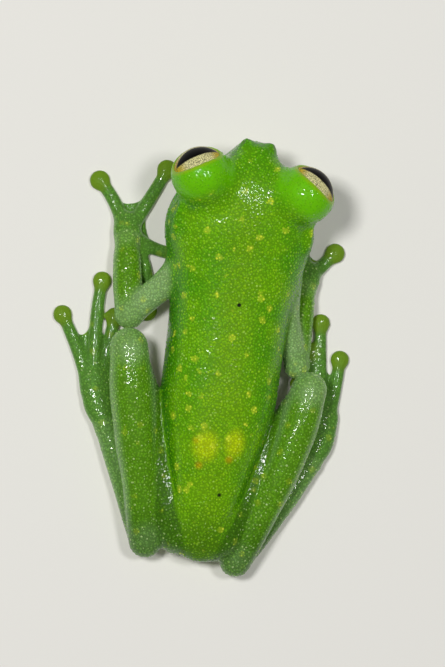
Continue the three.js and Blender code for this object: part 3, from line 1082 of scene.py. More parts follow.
class Masks:
    """The masks on the skin's vertices, which its markings and its granules follow."""

    limb_words = ("upper_arm", "forearm", "hand", "thigh", "shin", "tarsus", "foot")

    def __init__(self, frog: Skin, at: Places, up: np.ndarray) -> None:
        """Works the masks out.

        Args:
            frog: The frog.
            at: Its skin's vertices in the frog's frame.
            up: How far the skin faces up at each.
        """
        self.frog = frog
        self.sizes = MaskSizes()
        self.at = at
        self.up = up
        self.local = frog.head.local(at)
        self.above_mouth = self.local[2] - frog.head.mouth_level(self.local[1])
        self.fields = {word: frog.nearest(word, at) for word in self.limb_words}
        self.fields["core"] = frog.core(at)
        self.limb = self.nearer(self.limb_words, self.sizes.limb)
        tarsal = self.nearer(("tarsus",), self.sizes.foot, ("upper_arm", "hand", "foot"))
        foot = self.nearer(("hand", "foot"), self.sizes.foot)
        self.foot = np.maximum(foot, self.sizes.tarsus_as_foot * tarsal)
        discs = [d for part in ("hand", "foot") for limb in self.pair(part) for d in limb.discs()]
        self.tip = smoothstep(*self.sizes.tip, np.min([d.field(at) for d in discs], axis=0))
        self.lids, self.rim = self.eyelids()

    def pair(self, part: str) -> list[Sweep | Digits]:
        """The shapes of one kind of part on both sides."""
        return [self.frog.limbs[f"{part}_{side.word}"].shape for side in Side]

    def nearer(self, parts: tuple[str, ...], band: Band, but: tuple[str, ...] = ()) -> np.ndarray:
        """Where some parts are nearer than all others.

        Args:
            parts: The parts' names.
            band: How much nearer they are where the mask starts and where it is full.
            but: The parts that count as neither.

        Returns:
            The mask.
        """
        mine = np.min([self.fields[name] for name in parts], axis=0)
        others = np.min([v for name, v in self.fields.items() if name not in parts + but], axis=0)
        return smoothstep(*band, others - mine)

    def eyelids(self) -> tuple[np.ndarray, np.ndarray]:
        """The lids and their rims.

        Returns:
            Both masks.
        """
        lids, rim = np.zeros(len(self.up)), np.zeros(len(self.up))
        for side in Side:
            past, away = self.frog.head.opening(side, self.local)
            lid = smoothstep(*self.sizes.lid_height, away) * smoothstep(*self.sizes.lid_reach, past)
            lids = np.maximum(lids, lid)
            edge = smoothstep(*self.sizes.rim_reach, np.abs(past)) * smoothstep(*self.sizes.rim_height, away)
            rim = np.maximum(rim, edge)
        return lids, rim

    def pale(self) -> np.ndarray:
        """The paler feet, tarsi and upper arms, and the knees, heels and elbows.

        Returns:
            The mask.
        """
        x, y, _ = self.at
        ends = [shape.path[i] for shape in self.pair("shin") for i in (0, 2)]
        ends += [shape.path[2] for shape in self.pair("upper_arm")]
        joint = np.min([length_of(x - a, y - b) for a, b, _ in ends], axis=0)
        pale = self.nearer(("tarsus", "upper_arm", "hand", "foot"), self.sizes.pale)
        return np.maximum(pale, self.sizes.joint_share * self.limb * smoothstep(*self.sizes.joint, joint))

    def brown(self) -> np.ndarray:
        """The darker thighs and rump."""
        rump = smoothstep(*self.sizes.rump, self.at[1]) * self.sizes.rump_share
        return np.clip(self.nearer(("thigh",), self.sizes.thigh) + rump, 0, 1)

    def patch(self) -> np.ndarray:
        """The two pale patches over the hips.

        Returns:
            The mask.
        """
        x, y, _ = self.at
        made = 0.0
        for (cx, cy), (rx, ry) in self.sizes.patches:
            made = made + smoothstep(*self.sizes.patch, length_of((x - cx) / rx, (y - cy) / ry))
        return np.clip(made, 0, 1) * smoothstep(*self.sizes.top, self.up)

    def spine(self) -> np.ndarray:
        """The brighter green along the back and over the loin.

        Returns:
            The mask.
        """
        x, y, _ = self.at
        along = hump(x, self.sizes.spine_width) * smoothstep(*self.sizes.spine_starts, y)
        wide, long = self.sizes.loin_reach
        loin = np.exp(-((x / wide) ** 2) - ((y - self.sizes.loin) / long) ** 2)
        return np.clip(along + self.sizes.loin_share * loin, 0, 1)

    def mouth(self) -> np.ndarray:
        """The line of the mouth, and painted shade in the nostrils' pits.

        Returns:
            The mask.
        """
        line = hump(self.above_mouth, self.sizes.mouth_width)
        made = line * smoothstep(*self.sizes.mouth_corner, self.local[1])
        # Painted shade: the nostrils' pits are darkened along with the mouth's line
        for side in Side:
            pit = self.frog.head.pit(side, self.sizes.pit_radius)
            made = np.maximum(made, smoothstep(*self.sizes.pit, pit.field(self.local)))
        return made

    def face(self) -> np.ndarray:
        """The head in front of the drums."""
        return smoothstep(*self.sizes.face, self.local[1]) * (1 - self.limb)

    def under(self) -> np.ndarray:
        """The pale underside and the jaw.

        Returns:
            The mask.
        """
        under = smoothstep(*self.sizes.under, self.up) * (1 - self.foot)
        under = under + smoothstep(*self.sizes.under_foot, self.up) * self.foot
        face = self.face()
        return under * (1 - face) + smoothstep(*self.sizes.jaw, self.above_mouth) * face

    def grain(self) -> np.ndarray:
        """How densely the granules stand.

        Returns:
            The density's share.
        """
        sizes = self.sizes
        face = self.face() * smoothstep(*sizes.grain_face, self.above_mouth)
        grain = np.maximum(smoothstep(*sizes.grain, self.up), face)
        grain = grain * smoothstep(*sizes.grain_level, self.at[2])
        grain = grain * (1 - np.clip(self.rim * sizes.bare_rim, 0, 1))
        grain = grain * (1 - self.tip) * (1 - sizes.bare_lids * self.lids)
        return grain * (1 - sizes.bare_snout * smoothstep(*sizes.snout, self.local[1]))

    def store(self, skin: bpy.types.Object) -> None:
        """Stores the masks on the skin in fours, and the granules' two densities.

        Args:
            skin: The skin.
        """
        grain = self.grain()
        masks = {
            "zones": (self.up, self.limb, self.foot, self.tip),
            "details": (self.lids, self.rim, self.pale(), self.brown()),
            "marks": (self.patch(), self.spine(), self.mouth(), self.under()),
        }
        for name, four in masks.items():
            store_mask(skin, name, np.stack(four, axis=1))
        store_value(skin, "grain_body", grain * (1 - self.limb))
        store_value(skin, "grain_limbs", grain * self.limb * (1 - self.sizes.bare_foot * self.foot))


def relaxed(spots: np.ndarray, quads: np.ndarray, rounds: int) -> np.ndarray:
    """Smooths a net without shrinking it.

    Args:
        spots: The vertices.
        quads: The faces.
        rounds: How often each pair of passes is made.

    Returns:
        The moved vertices.
    """
    edges = np.concatenate([quads[:, [i, (i + 1) % 4]] for i in range(4)])
    a, b = np.concatenate([edges, edges[:, ::-1]]).T
    count = np.bincount(a, minlength=len(spots))[:, None]
    for _ in range(rounds):
        for share in (0.5, -0.52):
            mean = np.stack([np.bincount(a, spots[b, i], len(spots)) for i in range(3)], axis=1) / count
            spots = spots + share * (mean - spots)
    return spots


def mesh_object(name: str, spots: np.ndarray, faces: np.ndarray) -> bpy.types.Object:
    """Makes a smooth-shaded object.

    Args:
        name: The object's name.
        spots: The vertices in metres.
        faces: The faces, with as many corners in each row.

    Returns:
        The object, linked to the scene.
    """
    mesh = bpy.data.meshes.new(name)
    count, corners = faces.shape
    mesh.vertices.add(len(spots))
    mesh.vertices.foreach_set("co", spots.astype(np.float32).ravel())
    mesh.loops.add(count * corners)
    mesh.loops.foreach_set("vertex_index", faces.astype(np.int32).ravel())
    mesh.polygons.add(count)
    mesh.polygons.foreach_set("loop_start", np.arange(0, count * corners, corners, dtype=np.int32))
    mesh.polygons.foreach_set("use_smooth", np.ones(count, bool))
    mesh.update(calc_edges=True)
    mesh.validate()
    made = bpy.data.objects.new(name, mesh)
    bpy.context.scene.collection.objects.link(made)
    return made


def store_mask(piece: bpy.types.Object, name: str, values: np.ndarray) -> None:
    """Stores four masks on a piece's vertices as one colour attribute."""
    layer = piece.data.attributes.new(name, "FLOAT_COLOR", "POINT")
    layer.data.foreach_set("color", values.astype(np.float32).ravel())


def store_value(piece: bpy.types.Object, name: str, values: np.ndarray) -> None:
    """Stores one number on each of a piece's vertices."""
    layer = piece.data.attributes.new(name, "FLOAT", "POINT")
    layer.data.foreach_set("value", values.astype(np.float32))


def unwrap(piece: bpy.types.Object) -> None:
    """Unfolds a piece onto the map that its markings are baked to.

    Args:
        piece: The piece.
    """
    piece.data.uv_layers.new(name="OFBake")
    bpy.context.view_layer.objects.active = piece
    piece.select_set(True)
    bpy.ops.object.mode_set(mode="EDIT")
    bpy.ops.mesh.select_all(action="SELECT")
    bpy.ops.uv.smart_project(angle_limit=MAP_ANGLE, island_margin=MAP_MARGIN)
    bpy.ops.object.mode_set(mode="OBJECT")
    piece.select_set(False)


# Materials


def linear(hex_value: str) -> tuple[float, float, float, float]:
    """A colour for a shader from its sRGB hex value.

    Args:
        hex_value: Six hex digits.

    Returns:
        Linear red, green and blue, and full alpha.
    """
    parts = [int(hex_value[i : i + 2], 16) / 255 for i in (0, 2, 4)]
    made = [p / 12.92 if p <= 0.04045 else ((p + 0.055) / 1.055) ** 2.4 for p in parts]
    return made[0], made[1], made[2], 1.0


def add_node(tree: Tree, kind: str, settings: dict | None = None, **links: object) -> bpy.types.Node:
    """Adds a node with its settings and what its inputs are fed.

    Args:
        tree: The node tree.
        kind: The node's class name.
        settings: Properties of the node itself.
        **links: Each input's name, or in_ and its number, with an output to link or a value to set.

    Returns:
        The node.
    """
    node = tree.nodes.new(kind)
    for name, value in (settings or {}).items():
        setattr(node, name, value)
    for name, value in links.items():
        if name.startswith("in_"):
            socket = node.inputs[int(name.removeprefix("in_"))]
        else:
            label = name.replace("_", " ").lower()
            socket = next(s for s in node.inputs if s.enabled and s.name.lower() == label)
        if isinstance(value, bpy.types.NodeSocket):
            tree.links.new(value, socket)
        else:
            socket.default_value = value
    return node


class Paint:
    """A material's node tree with short ways to build on it. Sizes are in millimetres."""

    def __init__(self, name: str) -> None:
        """Starts a material with an empty tree.

        Args:
            name: The material's name.
        """
        self.material = bpy.data.materials.new(name)
        self.material.use_nodes = True
        self.tree = self.material.node_tree
        self.tree.nodes.clear()
        self.places = add_node(self.tree, "ShaderNodeTexCoord").outputs["Object"]

    def mix(self, share: object, a: object, b: object, blend: str = "MIX") -> Socket:
        """Mixes two colours."""
        settings = {"data_type": "RGBA", "blend_type": blend}
        return add_node(self.tree, "ShaderNodeMix", settings, in_0=share, in_6=a, in_7=b).outputs[2]

    def over(self, base: object, top: object, mask: object, share: float = 1.0) -> Socket:
        """Lays a colour over another where a mask says so.

        Args:
            base: The colour below.
            top: The colour above, or its hex value.
            mask: Where it lies.
            share: How much of it shows there.

        Returns:
            The mixed colour.
        """
        top = linear(top) if isinstance(top, str) else top
        return self.mix(mask if share == 1.0 else self.times(mask, share), base, top)

    def sums(self, what: str, a: object, b: object = 0.0) -> Socket:
        """One step of arithmetic."""
        settings = {"operation": what, "use_clamp": False}
        return add_node(self.tree, "ShaderNodeMath", settings, in_0=a, in_1=b).outputs[0]

    def times(self, a: object, b: object) -> Socket:
        """The product of two values."""
        return self.sums("MULTIPLY", a, b)

    def between(self, value: object, low: float, high: float) -> Socket:
        """Rises smoothly from 0 at low to 1 at high.

        Args:
            value: What is tested.
            low: Where the rise starts.
            high: Where it ends, below low for a fall.

        Returns:
            The share between 0 and 1.
        """
        settings = {"interpolation_type": "SMOOTHSTEP"}
        limits = {"in_1": low, "in_2": high, "in_3": 0.0, "in_4": 1.0}
        if low > high:
            limits = {"in_1": high, "in_2": low, "in_3": 1.0, "in_4": 0.0}
        return add_node(self.tree, "ShaderNodeMapRange", settings, in_0=value, **limits).outputs[0]

    def noise(self, size: float, detail: float = 2.0) -> Socket:
        """Cloudy variation.

        Args:
            size: About how wide its patches are.
            detail: How many finer layers it has.

        Returns:
            The variation, around a half.
        """
        links = {"vector": self.places, "scale": 1.0 / (size * MM), "detail": detail}
        return add_node(self.tree, "ShaderNodeTexNoise", **links).outputs["Fac"]

    def cells(self, size: float, feature: str = "F1") -> Socket:
        """Small cells.

        Args:
            size: About how wide they are.
            feature: What is measured from, as the Voronoi node calls it.

        Returns:
            Each place's distance, in cell widths.
        """
        links = {"vector": self.places, "scale": 1.0 / (size * MM)}
        return add_node(self.tree, "ShaderNodeTexVoronoi", {"feature": feature}, **links).outputs["Distance"]

    def flecks(self, spacing: float, radius: float) -> Socket:
        """Scattered spots with ragged edges.

        Args:
            spacing: About how far apart they are.
            radius: About how large they are.

        Returns:
            The mask.
        """
        ragged = self.times(self.sums("SUBTRACT", self.noise(0.22), 0.5), 0.3)
        away = self.sums("ADD", self.cells(spacing), ragged)
        limit = radius / spacing
        return self.between(away, limit * 1.1, limit * 0.6)

    def near(self, place: Point, shift: Point, inner: float, outer: float) -> Socket:
        """A soft ball.

        Args:
            place: Its middle in the working frame.
            shift: The way from the working frame to the model's.
            inner: The radius where the mask is full.
            outer: The radius where it ends.

        Returns:
            The mask.
        """
        spot = tuple((a + b) * MM for a, b in zip(place, shift))
        settings = {"operation": "DISTANCE"}
        away = add_node(self.tree, "ShaderNodeVectorMath", settings, in_0=self.places, in_1=spot)
        return self.between(away.outputs["Value"], outer * MM, inner * MM)

    def mask(self, name: str) -> tuple[Socket, ...]:
        """Reads masks from a piece.

        Args:
            name: The name they are stored under.

        Returns:
            The four masks.
        """
        made = add_node(self.tree, "ShaderNodeAttribute", {"attribute_name": name})
        split = add_node(self.tree, "ShaderNodeSeparateColor", in_0=made.outputs["Color"])
        return (*split.outputs, made.outputs["Alpha"])

    def finish(self, shader: bpy.types.Node) -> bpy.types.Material:
        """Links the shader to the output."""
        add_node(self.tree, "ShaderNodeOutputMaterial", surface=shader.outputs[0])
        return self.material


@dataclass(frozen=True)
class Granules:
    """The fine grain of the back and limbs: low domes set in the skin by a node tree.

    Sizes are in millimetres. width is half a dome's, and each dome has a random size, from smallest to
    largest, which makes it 0.07 to 0.21 across. Finer grain is left to the bump of the materials.
    crowding is the most points on a square metre before the spacing thins them, and patch is a
    dome's width on the map.
    """

    spacing: float = 0.165
    width: float = 0.072
    height: float = 0.033
    smallest: float = 0.5
    largest: float = 1.45
    sides: int = 8
    rings: int = 4
    cut: float = -0.1
    sink: float = 0.4
    crowding: float = 6.0e7
    patch: float = 0.003
    seed: int = 11

    def dome(self, tree: Tree, sizes: bpy.types.Node) -> Socket:
        """One closed dome of unit size brought to its width and height.

        Args:
            tree: The node tree.
            sizes: The group's input node.

        Returns:
            The dome's output.
        """
        ball = add_node(tree, "GeometryNodeMeshUVSphere", segments=self.sides, rings=self.rings, radius=1.0)
        place = add_node(tree, "GeometryNodeInputPosition").outputs[0]
        height = add_node(tree, "ShaderNodeSeparateXYZ", in_0=place).outputs["Z"]
        settings = {"data_type": "FLOAT", "operation": "LESS_THAN"}
        low = add_node(tree, "FunctionNodeCompare", settings, in_0=height, in_1=self.cut)
        kept = {"geometry": ball.outputs[0], "selection": low.outputs[0]}
        open_dome = add_node(tree, "GeometryNodeDeleteGeometry", **kept).outputs[0]
        whole = add_node(tree, "GeometryNodeConvexHull", geometry=open_dome).outputs[0]
        stored = self.store(tree, whole, "patch", place, "FLOAT_VECTOR", "POINT")
        smooth = add_node(tree, "GeometryNodeSetShadeSmooth", in_0=stored).outputs[0]
        width, tall = sizes.outputs["Width"], sizes.outputs["Height"]
        size = add_node(tree, "ShaderNodeCombineXYZ", x=width, y=width, z=tall)
        depth = add_node(tree, "ShaderNodeMath", {"operation": "MULTIPLY"}, in_0=tall, in_1=-self.sink)
        down = add_node(tree, "ShaderNodeCombineXYZ", z=depth.outputs[0])
        move = {"geometry": smooth, "translation": down.outputs[0], "scale": size.outputs[0]}
        return add_node(tree, "GeometryNodeTransform", **move).outputs[0]

    @staticmethod
    def store(tree: Tree, geometry: object, name: str, value: object, kind: str, domain: str) -> Socket:
        """Stores a value on the geometry.

        Args:
            tree: The node tree.
            geometry: The geometry.
            name: The name that the value is stored under.
            value: The value.
            kind: Its type.
            domain: What each value belongs to.

        Returns:
            The geometry that carries it.
        """
        settings = {"data_type": kind, "domain": domain}
        links = {"geometry": geometry, "name": name, "value": value}
        return add_node(tree, "GeometryNodeStoreNamedAttribute", settings, **links).outputs[0]

    def tree(self) -> Tree:
        """Makes the node tree that scatters domes over a skin.

        Returns:
            The tree, with its sizes as named inputs.
        """
        tree = bpy.data.node_groups.new("granules", "GeometryNodeTree")
        inputs = (
            ("Skin", "NodeSocketGeometry"),
            ("Where", "NodeSocketString"),
            ("Spacing", "NodeSocketFloat"),
            ("Width", "NodeSocketFloat"),
            ("Height", "NodeSocketFloat"),
            ("Seed", "NodeSocketInt"),
            ("Finish", "NodeSocketMaterial"),
        )
        for name, kind in inputs:
            tree.interface.new_socket(name, in_out="INPUT", socket_type=kind)
        tree.interface.new_socket("Granules", in_out="OUTPUT", socket_type="NodeSocketGeometry")
        sizes = add_node(tree, "NodeGroupInput")
        where = {"name": sizes.outputs["Where"]}
        density = add_node(tree, "GeometryNodeInputNamedAttribute", {"data_type": "FLOAT"}, **where)
        spread = add_node(
            tree,
            "GeometryNodeDistributePointsOnFaces",
            {"distribute_method": "POISSON"},
            mesh=sizes.outputs["Skin"],
            distance_min=sizes.outputs["Spacing"],
            density_max=self.crowding,
            density_factor=density.outputs[0],
            seed=sizes.outputs["Seed"],
        )
        read = {"data_type": "FLOAT_VECTOR"}
        root = add_node(tree, "GeometryNodeInputNamedAttribute", read, name="OFBake")
        roots = self.store(tree, spread.outputs["Points"], "root", root.outputs[0], "FLOAT_VECTOR", "POINT")
        limits = {"in_2": self.smallest, "in_3": self.largest, "seed": sizes.outputs["Seed"]}
        scale = add_node(tree, "FunctionNodeRandomValue", {"data_type": "FLOAT"}, **limits)
        grown = add_node(
            tree,
            "GeometryNodeInstanceOnPoints",
            points=roots,
            instance=self.dome(tree, sizes),
            rotation=spread.outputs["Rotation"],
            scale=scale.outputs[1],
        )
        real = add_node(tree, "GeometryNodeRealizeInstances", in_0=grown.outputs[0]).outputs[0]
        at = add_node(tree, "GeometryNodeInputNamedAttribute", read, name="root").outputs[0]
        offset = add_node(tree, "GeometryNodeInputNamedAttribute", read, name="patch").outputs[0]
        half = (self.patch / 2, self.patch / 2, 0.0)
        settings = {"operation": "MULTIPLY_ADD"}
        spot = add_node(tree, "ShaderNodeVectorMath", settings, in_0=offset, in_1=half, in_2=at)
        mapped = self.store(tree, real, "OFBake", spot.outputs[0], "FLOAT2", "CORNER")
        look = {"geometry": mapped, "material": sizes.outputs["Finish"]}
        dressed = add_node(tree, "GeometryNodeSetMaterial", **look)
        add_node(tree, "NodeGroupOutput", in_0=dressed.outputs[0])
        return tree

    def grow(
        self,
        skin: bpy.types.Object,
        name: str,
        where: str,
        finish: bpy.types.Material,
    ) -> bpy.types.Object:
        """Grows one coat of granules as a plain mesh.

        Args:
            skin: The skin they grow on.
            name: The new piece's name.
            where: The skin's attribute that says how densely they stand.
            finish: Their material.

        Returns:
            The coat.
        """
        tree = self.tree()
        grower = bpy.data.objects.new("grower", skin.data)
        bpy.context.scene.collection.objects.link(grower)
        modifier = grower.modifiers.new("granules", "NODES")
        modifier.node_group = tree
        values = {
            "Where": where,
            "Spacing": self.spacing * MM,
            "Width": self.width * MM,
            "Height": self.height * MM,
            "Seed": self.seed,
            "Finish": finish,
        }
        for item in tree.interface.items_tree:
            if item.in_out == "INPUT" and item.name in values:
                modifier[item.identifier] = values[item.name]
        graph = bpy.context.evaluated_depsgraph_get()
        mesh = bpy.data.meshes.new_from_object(
            grower.evaluated_get(graph), preserve_all_data_layers=True, depsgraph=graph
        )
        bpy.data.objects.remove(grower)
        mesh.name = name
        made = bpy.data.objects.new(name, mesh)
        bpy.context.scene.collection.objects.link(made)
        return made


@dataclass(frozen=True)
class FrogSkin:
    """Moist amphibian skin: green pigment over clear tissue, with a thin film of water.

    The film gives small sharp glints on each granule over a softer sheen, and the clear tissue
    lets light soak in, so that the limbs' edges look pale. Glints too fine to model are painted
    as pale specks, and shade between the finest granules is painted in. A pair says where a
    colour starts to show and where it is full, and a share how much of it shows there.
    """

    shift: Point
    back: str = "76bc02"
    back_deep: str = "5cac02"
    clouds: float = 2.6
    cloudy: Band = (0.38, 0.62)
    spine: str = "7cb402"
    spine_share: float = 0.75
    flank: str = "429802"
    steep: Band = (0.86, 0.6)
    limb: str = "629e12"
    limb_edge: str = "8cc068"
    limb_steep: Band = (0.92, 0.62)
    arm: str = "a0c684"
    foot: str = "629840"
    pale_share: float = 0.7
    rump: str = "3a6c04"
    rump_share: float = 0.75
    sacrum: str = "bcda00"
    orange: str = "d4aa04"
    orange_share: float = 0.6
    orange_radii: Band = (0.05, 0.38)
    orange_flecks: tuple[Point, ...] = ((-0.83, 6.64, 5.2), (1.31, 5.65, 5.1), (0.98, 7.2, 5.0))
    fleck: str = "d4e634"
    fleck_spacing: float = 1.05
    fleck_radius: float = 0.26
    fleck_top: Band = (0.6, 0.72)
    fleck_lost: float = 0.6
    fleck_ground: float = 0.3
    granule: str = "a2d414"
    granule_limb: str = "86b43c"
    granule_size: float = 0.3
    granule_band: Band = (0.42, 0.62)
    granule_share: float = 0.4
    granule_lost: float = 0.2
    # Painted highlights: pale specks on the granules, standing in for glints too fine to model
    glitter: str = "d4e8a0"
    glitter_size: float = 0.24
    glitter_band: Band = (0.58, 0.66)
    glitter_share: float = 0.15
    glitter_limb: float = 0.27
    # Painted shade between the finest granules: each small cell darkens away from its middle; the cell size
    # also sets the bump
    grit: float = 0.15
    grit_band: Band = (0.55, 0.15)
    grit_dark: str = "a4a4a4"
    grit_light: str = "ffffff"
    grit_share: float = 0.6
    lid: str = "68bc02"
    lid_share: float = 0.9
    speck: str = "337404"
    speck_size: float = 0.17
    speck_band: Band = (0.34, 0.14)
    speck_share: float = 0.4
    tip: str = "6a8c1c"
    belly: str = "c8d8a4"
    # The mouth's dark line, and painted shade in the nostrils' pits
    mouth: str = "4c6a1c"
    mouth_share: float = 0.7
    rim: str = "9aa81c"
    rim_share: float = 0.5
    dot: str = "141c06"
    dots: tuple[tuple[Point, float], ...] = (((-0.13, -2.96, 6.2), 0.13), ((-0.6, 8.94, 4.75), 0.2))
    bump_skin: float = 0.9
    bump_granule: float = 0.3
    bump_height: float = 0.022
    film_height: float = 0.015
    soak: float = 0.45

    def ground(self, paint: Paint, limb: Socket, spine: Socket) -> Socket:
        """The green of trunk and limbs, without the markings.

        Args:
            paint: The material being made.
            limb: Where the limbs are.
            spine: Where the back is brighter.

        Returns:
            The colour.
        """
        up, _, foot, _ = paint.mask("zones")
        _, _, pale, brown = paint.mask("details")
        steep = paint.between(up, *self.steep)
        clouds = paint.between(paint.noise(self.clouds), *self.cloudy)
        trunk = paint.over(linear(self.back_deep), self.back, clouds)
        trunk = paint.over(trunk, self.spine, spine, self.spine_share)
        trunk = paint.over(trunk, self.flank, steep)
        leg = paint.over(linear(self.limb), self.limb_edge, paint.between(up, *self.limb_steep))
        slim = paint.over(linear(self.arm), self.foot, foot)
        leg = paint.over(leg, paint.over(slim, self.limb_edge, steep), pale, self.pale_share)
        made = paint.over(trunk, leg, limb)
        return paint.over(made, self.rump, brown, self.rump_share)

    def granular(self, paint: Paint, made: Socket, limb: Socket, brown: Socket) -> Socket:
        """The granules' own colour, with pale specks painted as highlights for glints too fine to model.

        Args:
            paint: The material being made.
            made: The skin's colour below them.
            limb: Where the limbs are.
            brown: Where the skin is brownish.

        Returns:
            The colour.
        """
        most = paint.sums("SUBTRACT", self.granule_share, paint.times(brown, self.granule_lost))
        pigment = paint.between(paint.noise(self.granule_size, 1.0), *self.granule_band)
        grain = paint.over(linear(self.granule), self.granule_limb, limb)
        made = paint.over(made, grain, paint.times(pigment, most))
        # Painted glints: pale specks on the granules, more of them on the limbs
        share = paint.sums("ADD", self.glitter_share, paint.times(limb, self.glitter_limb))
        glitter = paint.between(paint.noise(self.glitter_size, 1.0), *self.glitter_band)
        return paint.over(made, self.glitter, paint.times(glitter, share))

    def colour(self, paint: Paint, granular: bool) -> Socket:
        """The colour of the skin or of its granules.

        Args:
            paint: The material being made.
            granular: Whether it is for the granules.

        Returns:
            The colour's output.
        """
        up, limb, _, tip = paint.mask("zones")
        lids, rim, _, brown = paint.mask("details")
        patch, spine, mouth, under = paint.mask("marks")
        made = paint.over(self.ground(paint, limb, spine), self.sacrum, patch)
        for place in self.orange_flecks:
            spot = paint.near(place, self.shift, *self.orange_radii)
            made = paint.over(made, self.orange, spot, self.orange_share)
        hidden = paint.sums("MAXIMUM", lids, paint.times(limb, self.fleck_lost))
        shown = paint.times(paint.between(up, *self.fleck_top), paint.sums("SUBTRACT", 1.0, hidden))
        fleck = paint.times(paint.flecks(self.fleck_spacing, self.fleck_radius), shown)
        if granular:
            made = paint.over(self.granular(paint, made, limb, brown), self.fleck, fleck)
        else:
            # Painted shade: the skin is darkened between the finest granules, away from each cell's middle
            grit = paint.between(paint.cells(self.grit), *self.grit_band)
            shade = paint.over(linear(self.grit_dark), self.grit_light, grit)
            made = paint.mix(self.grit_share, made, shade, "MULTIPLY")
            made = paint.over(made, self.fleck, fleck, self.fleck_ground)
        speck = paint.between(paint.cells(self.speck_size), *self.speck_band)
        lid = paint.over(linear(self.lid), self.speck, speck, self.speck_share)
        made = paint.over(made, lid, lids, self.lid_share)
        made = paint.over(made, self.tip, tip)
        made = paint.over(made, self.belly, under)
        # The mouth's line, and painted shade in the nostrils' pits
        made = paint.over(made, self.mouth, mouth, self.mouth_share)
        made = paint.over(made, self.rim, rim, self.rim_share)
        for place, radius in self.dots:
            made = paint.over(made, self.dot, paint.near(place, self.shift, radius * 0.8, radius * 1.2))
        return made

    def material(self, granular: bool) -> bpy.types.Material:
        """Makes the skin's material, or that of its granules.

        Args:
            granular: Whether it is for the granules.

        Returns:
            The material.
        """
        paint = Paint("moist_granule_skin" if granular else "moist_frog_skin")
        fine = paint.sums("ADD", paint.cells(self.grit), paint.times(paint.noise(0.3, 1.0), 1.2))
        strength = self.bump_granule if granular else self.bump_skin
        bump, film = (
            add_node(paint.tree, "ShaderNodeBump", strength=strength, distance=height * MM, height=fine)
            for height in (self.bump_height, self.film_height)
        )
        shader = add_node(
            paint.tree,
            "ShaderNodeBsdfPrincipled",
            base_color=self.colour(paint, granular),
            roughness=0.42,
            ior=1.38,
            specular_ior_level=0.1,
            normal=bump.outputs[0],
            subsurface_weight=0.22,
            subsurface_radius=(0.6, 0.8, 0.25),
            subsurface_scale=self.soak * MM,
            coat_weight=0.78,
            coat_roughness=0.05,
            coat_ior=1.34,
            coat_normal=film.outputs[0],
        )
        return paint.finish(shader)


@dataclass(frozen=True)
class FrogEye:
    """A wet eye: a black level pupil in a cream iris, yellow in its corners, with a fine dark net.

    The net of the real iris is too fine to show, so it is drawn coarser. The cornea's tear film
    gives one sharp glint and a mirror-like sheen. Sizes are shares of the eye's radius, except net_mm.
    """

    iris: str = "ece6a6"
    amber: str = "dcc00a"
    corner: Band = (0.4, 0.78)
    lower: str = "8c8c14"
    lower_band: Band = (-0.34, -0.62)
    net: str = "343428"
    net_mm: float = 0.09
    net_band: Band = (0.2, 0.04)
    net_share: float = 0.75
    pupil: str = "030303"
    pupil_wide: float = 0.73
    pupil_tall: float = 0.265
    pupil_drop: float = -0.02
    pupil_power: float = 1.7
    pupil_edge: Band = (1.06, 0.96)
    pupil_ring: Band = (1.25, 1.02)
    pupil_front: Band = (0.0, 0.05)

    def material(self) -> bpy.types.Material:
        """Makes the eye's material.

        Returns:
            The material.
        """
        paint = Paint("wet_eye")
        gaze = add_node(paint.tree, "ShaderNodeAttribute", {"attribute_name": "gaze"}).outputs["Vector"]
        level, steep, ahead = add_node(paint.tree, "ShaderNodeSeparateXYZ", in_0=gaze).outputs
        out = paint.sums("ABSOLUTE", level)
        lift = paint.sums("ABSOLUTE", paint.sums("ADD", steep, self.pupil_drop))
        wide = paint.sums("POWER", paint.sums("DIVIDE", out, self.pupil_wide), self.pupil_power)
        tall = paint.sums("POWER", paint.sums("DIVIDE", lift, self.pupil_tall), self.pupil_power)
        reach = paint.sums("ADD", wide, tall)
        inside = paint.times(paint.between(reach, *self.pupil_edge), paint.between(ahead, *self.pupil_front))
        made = paint.over(linear(self.iris), self.amber, paint.between(out, *self.corner))
        web = paint.between(paint.cells(self.net_mm, "DISTANCE_TO_EDGE"), *self.net_band)
        made = paint.over(made, self.net, web, self.net_share)
        made = paint.over(made, self.net, paint.between(reach, *self.pupil_ring))
        made = paint.over(made, self.lower, paint.between(steep, *self.lower_band))
        made = paint.over(made, self.pupil, inside)
        shader = add_node(
            paint.tree,
            "ShaderNodeBsdfPrincipled",
            base_color=made,
            roughness=0.3,
            ior=1.376,
            specular_ior_level=0.05,
            coat_weight=0.25,
            coat_roughness=0.02,
            coat_ior=1.2,
        )
        return paint.finish(shader)


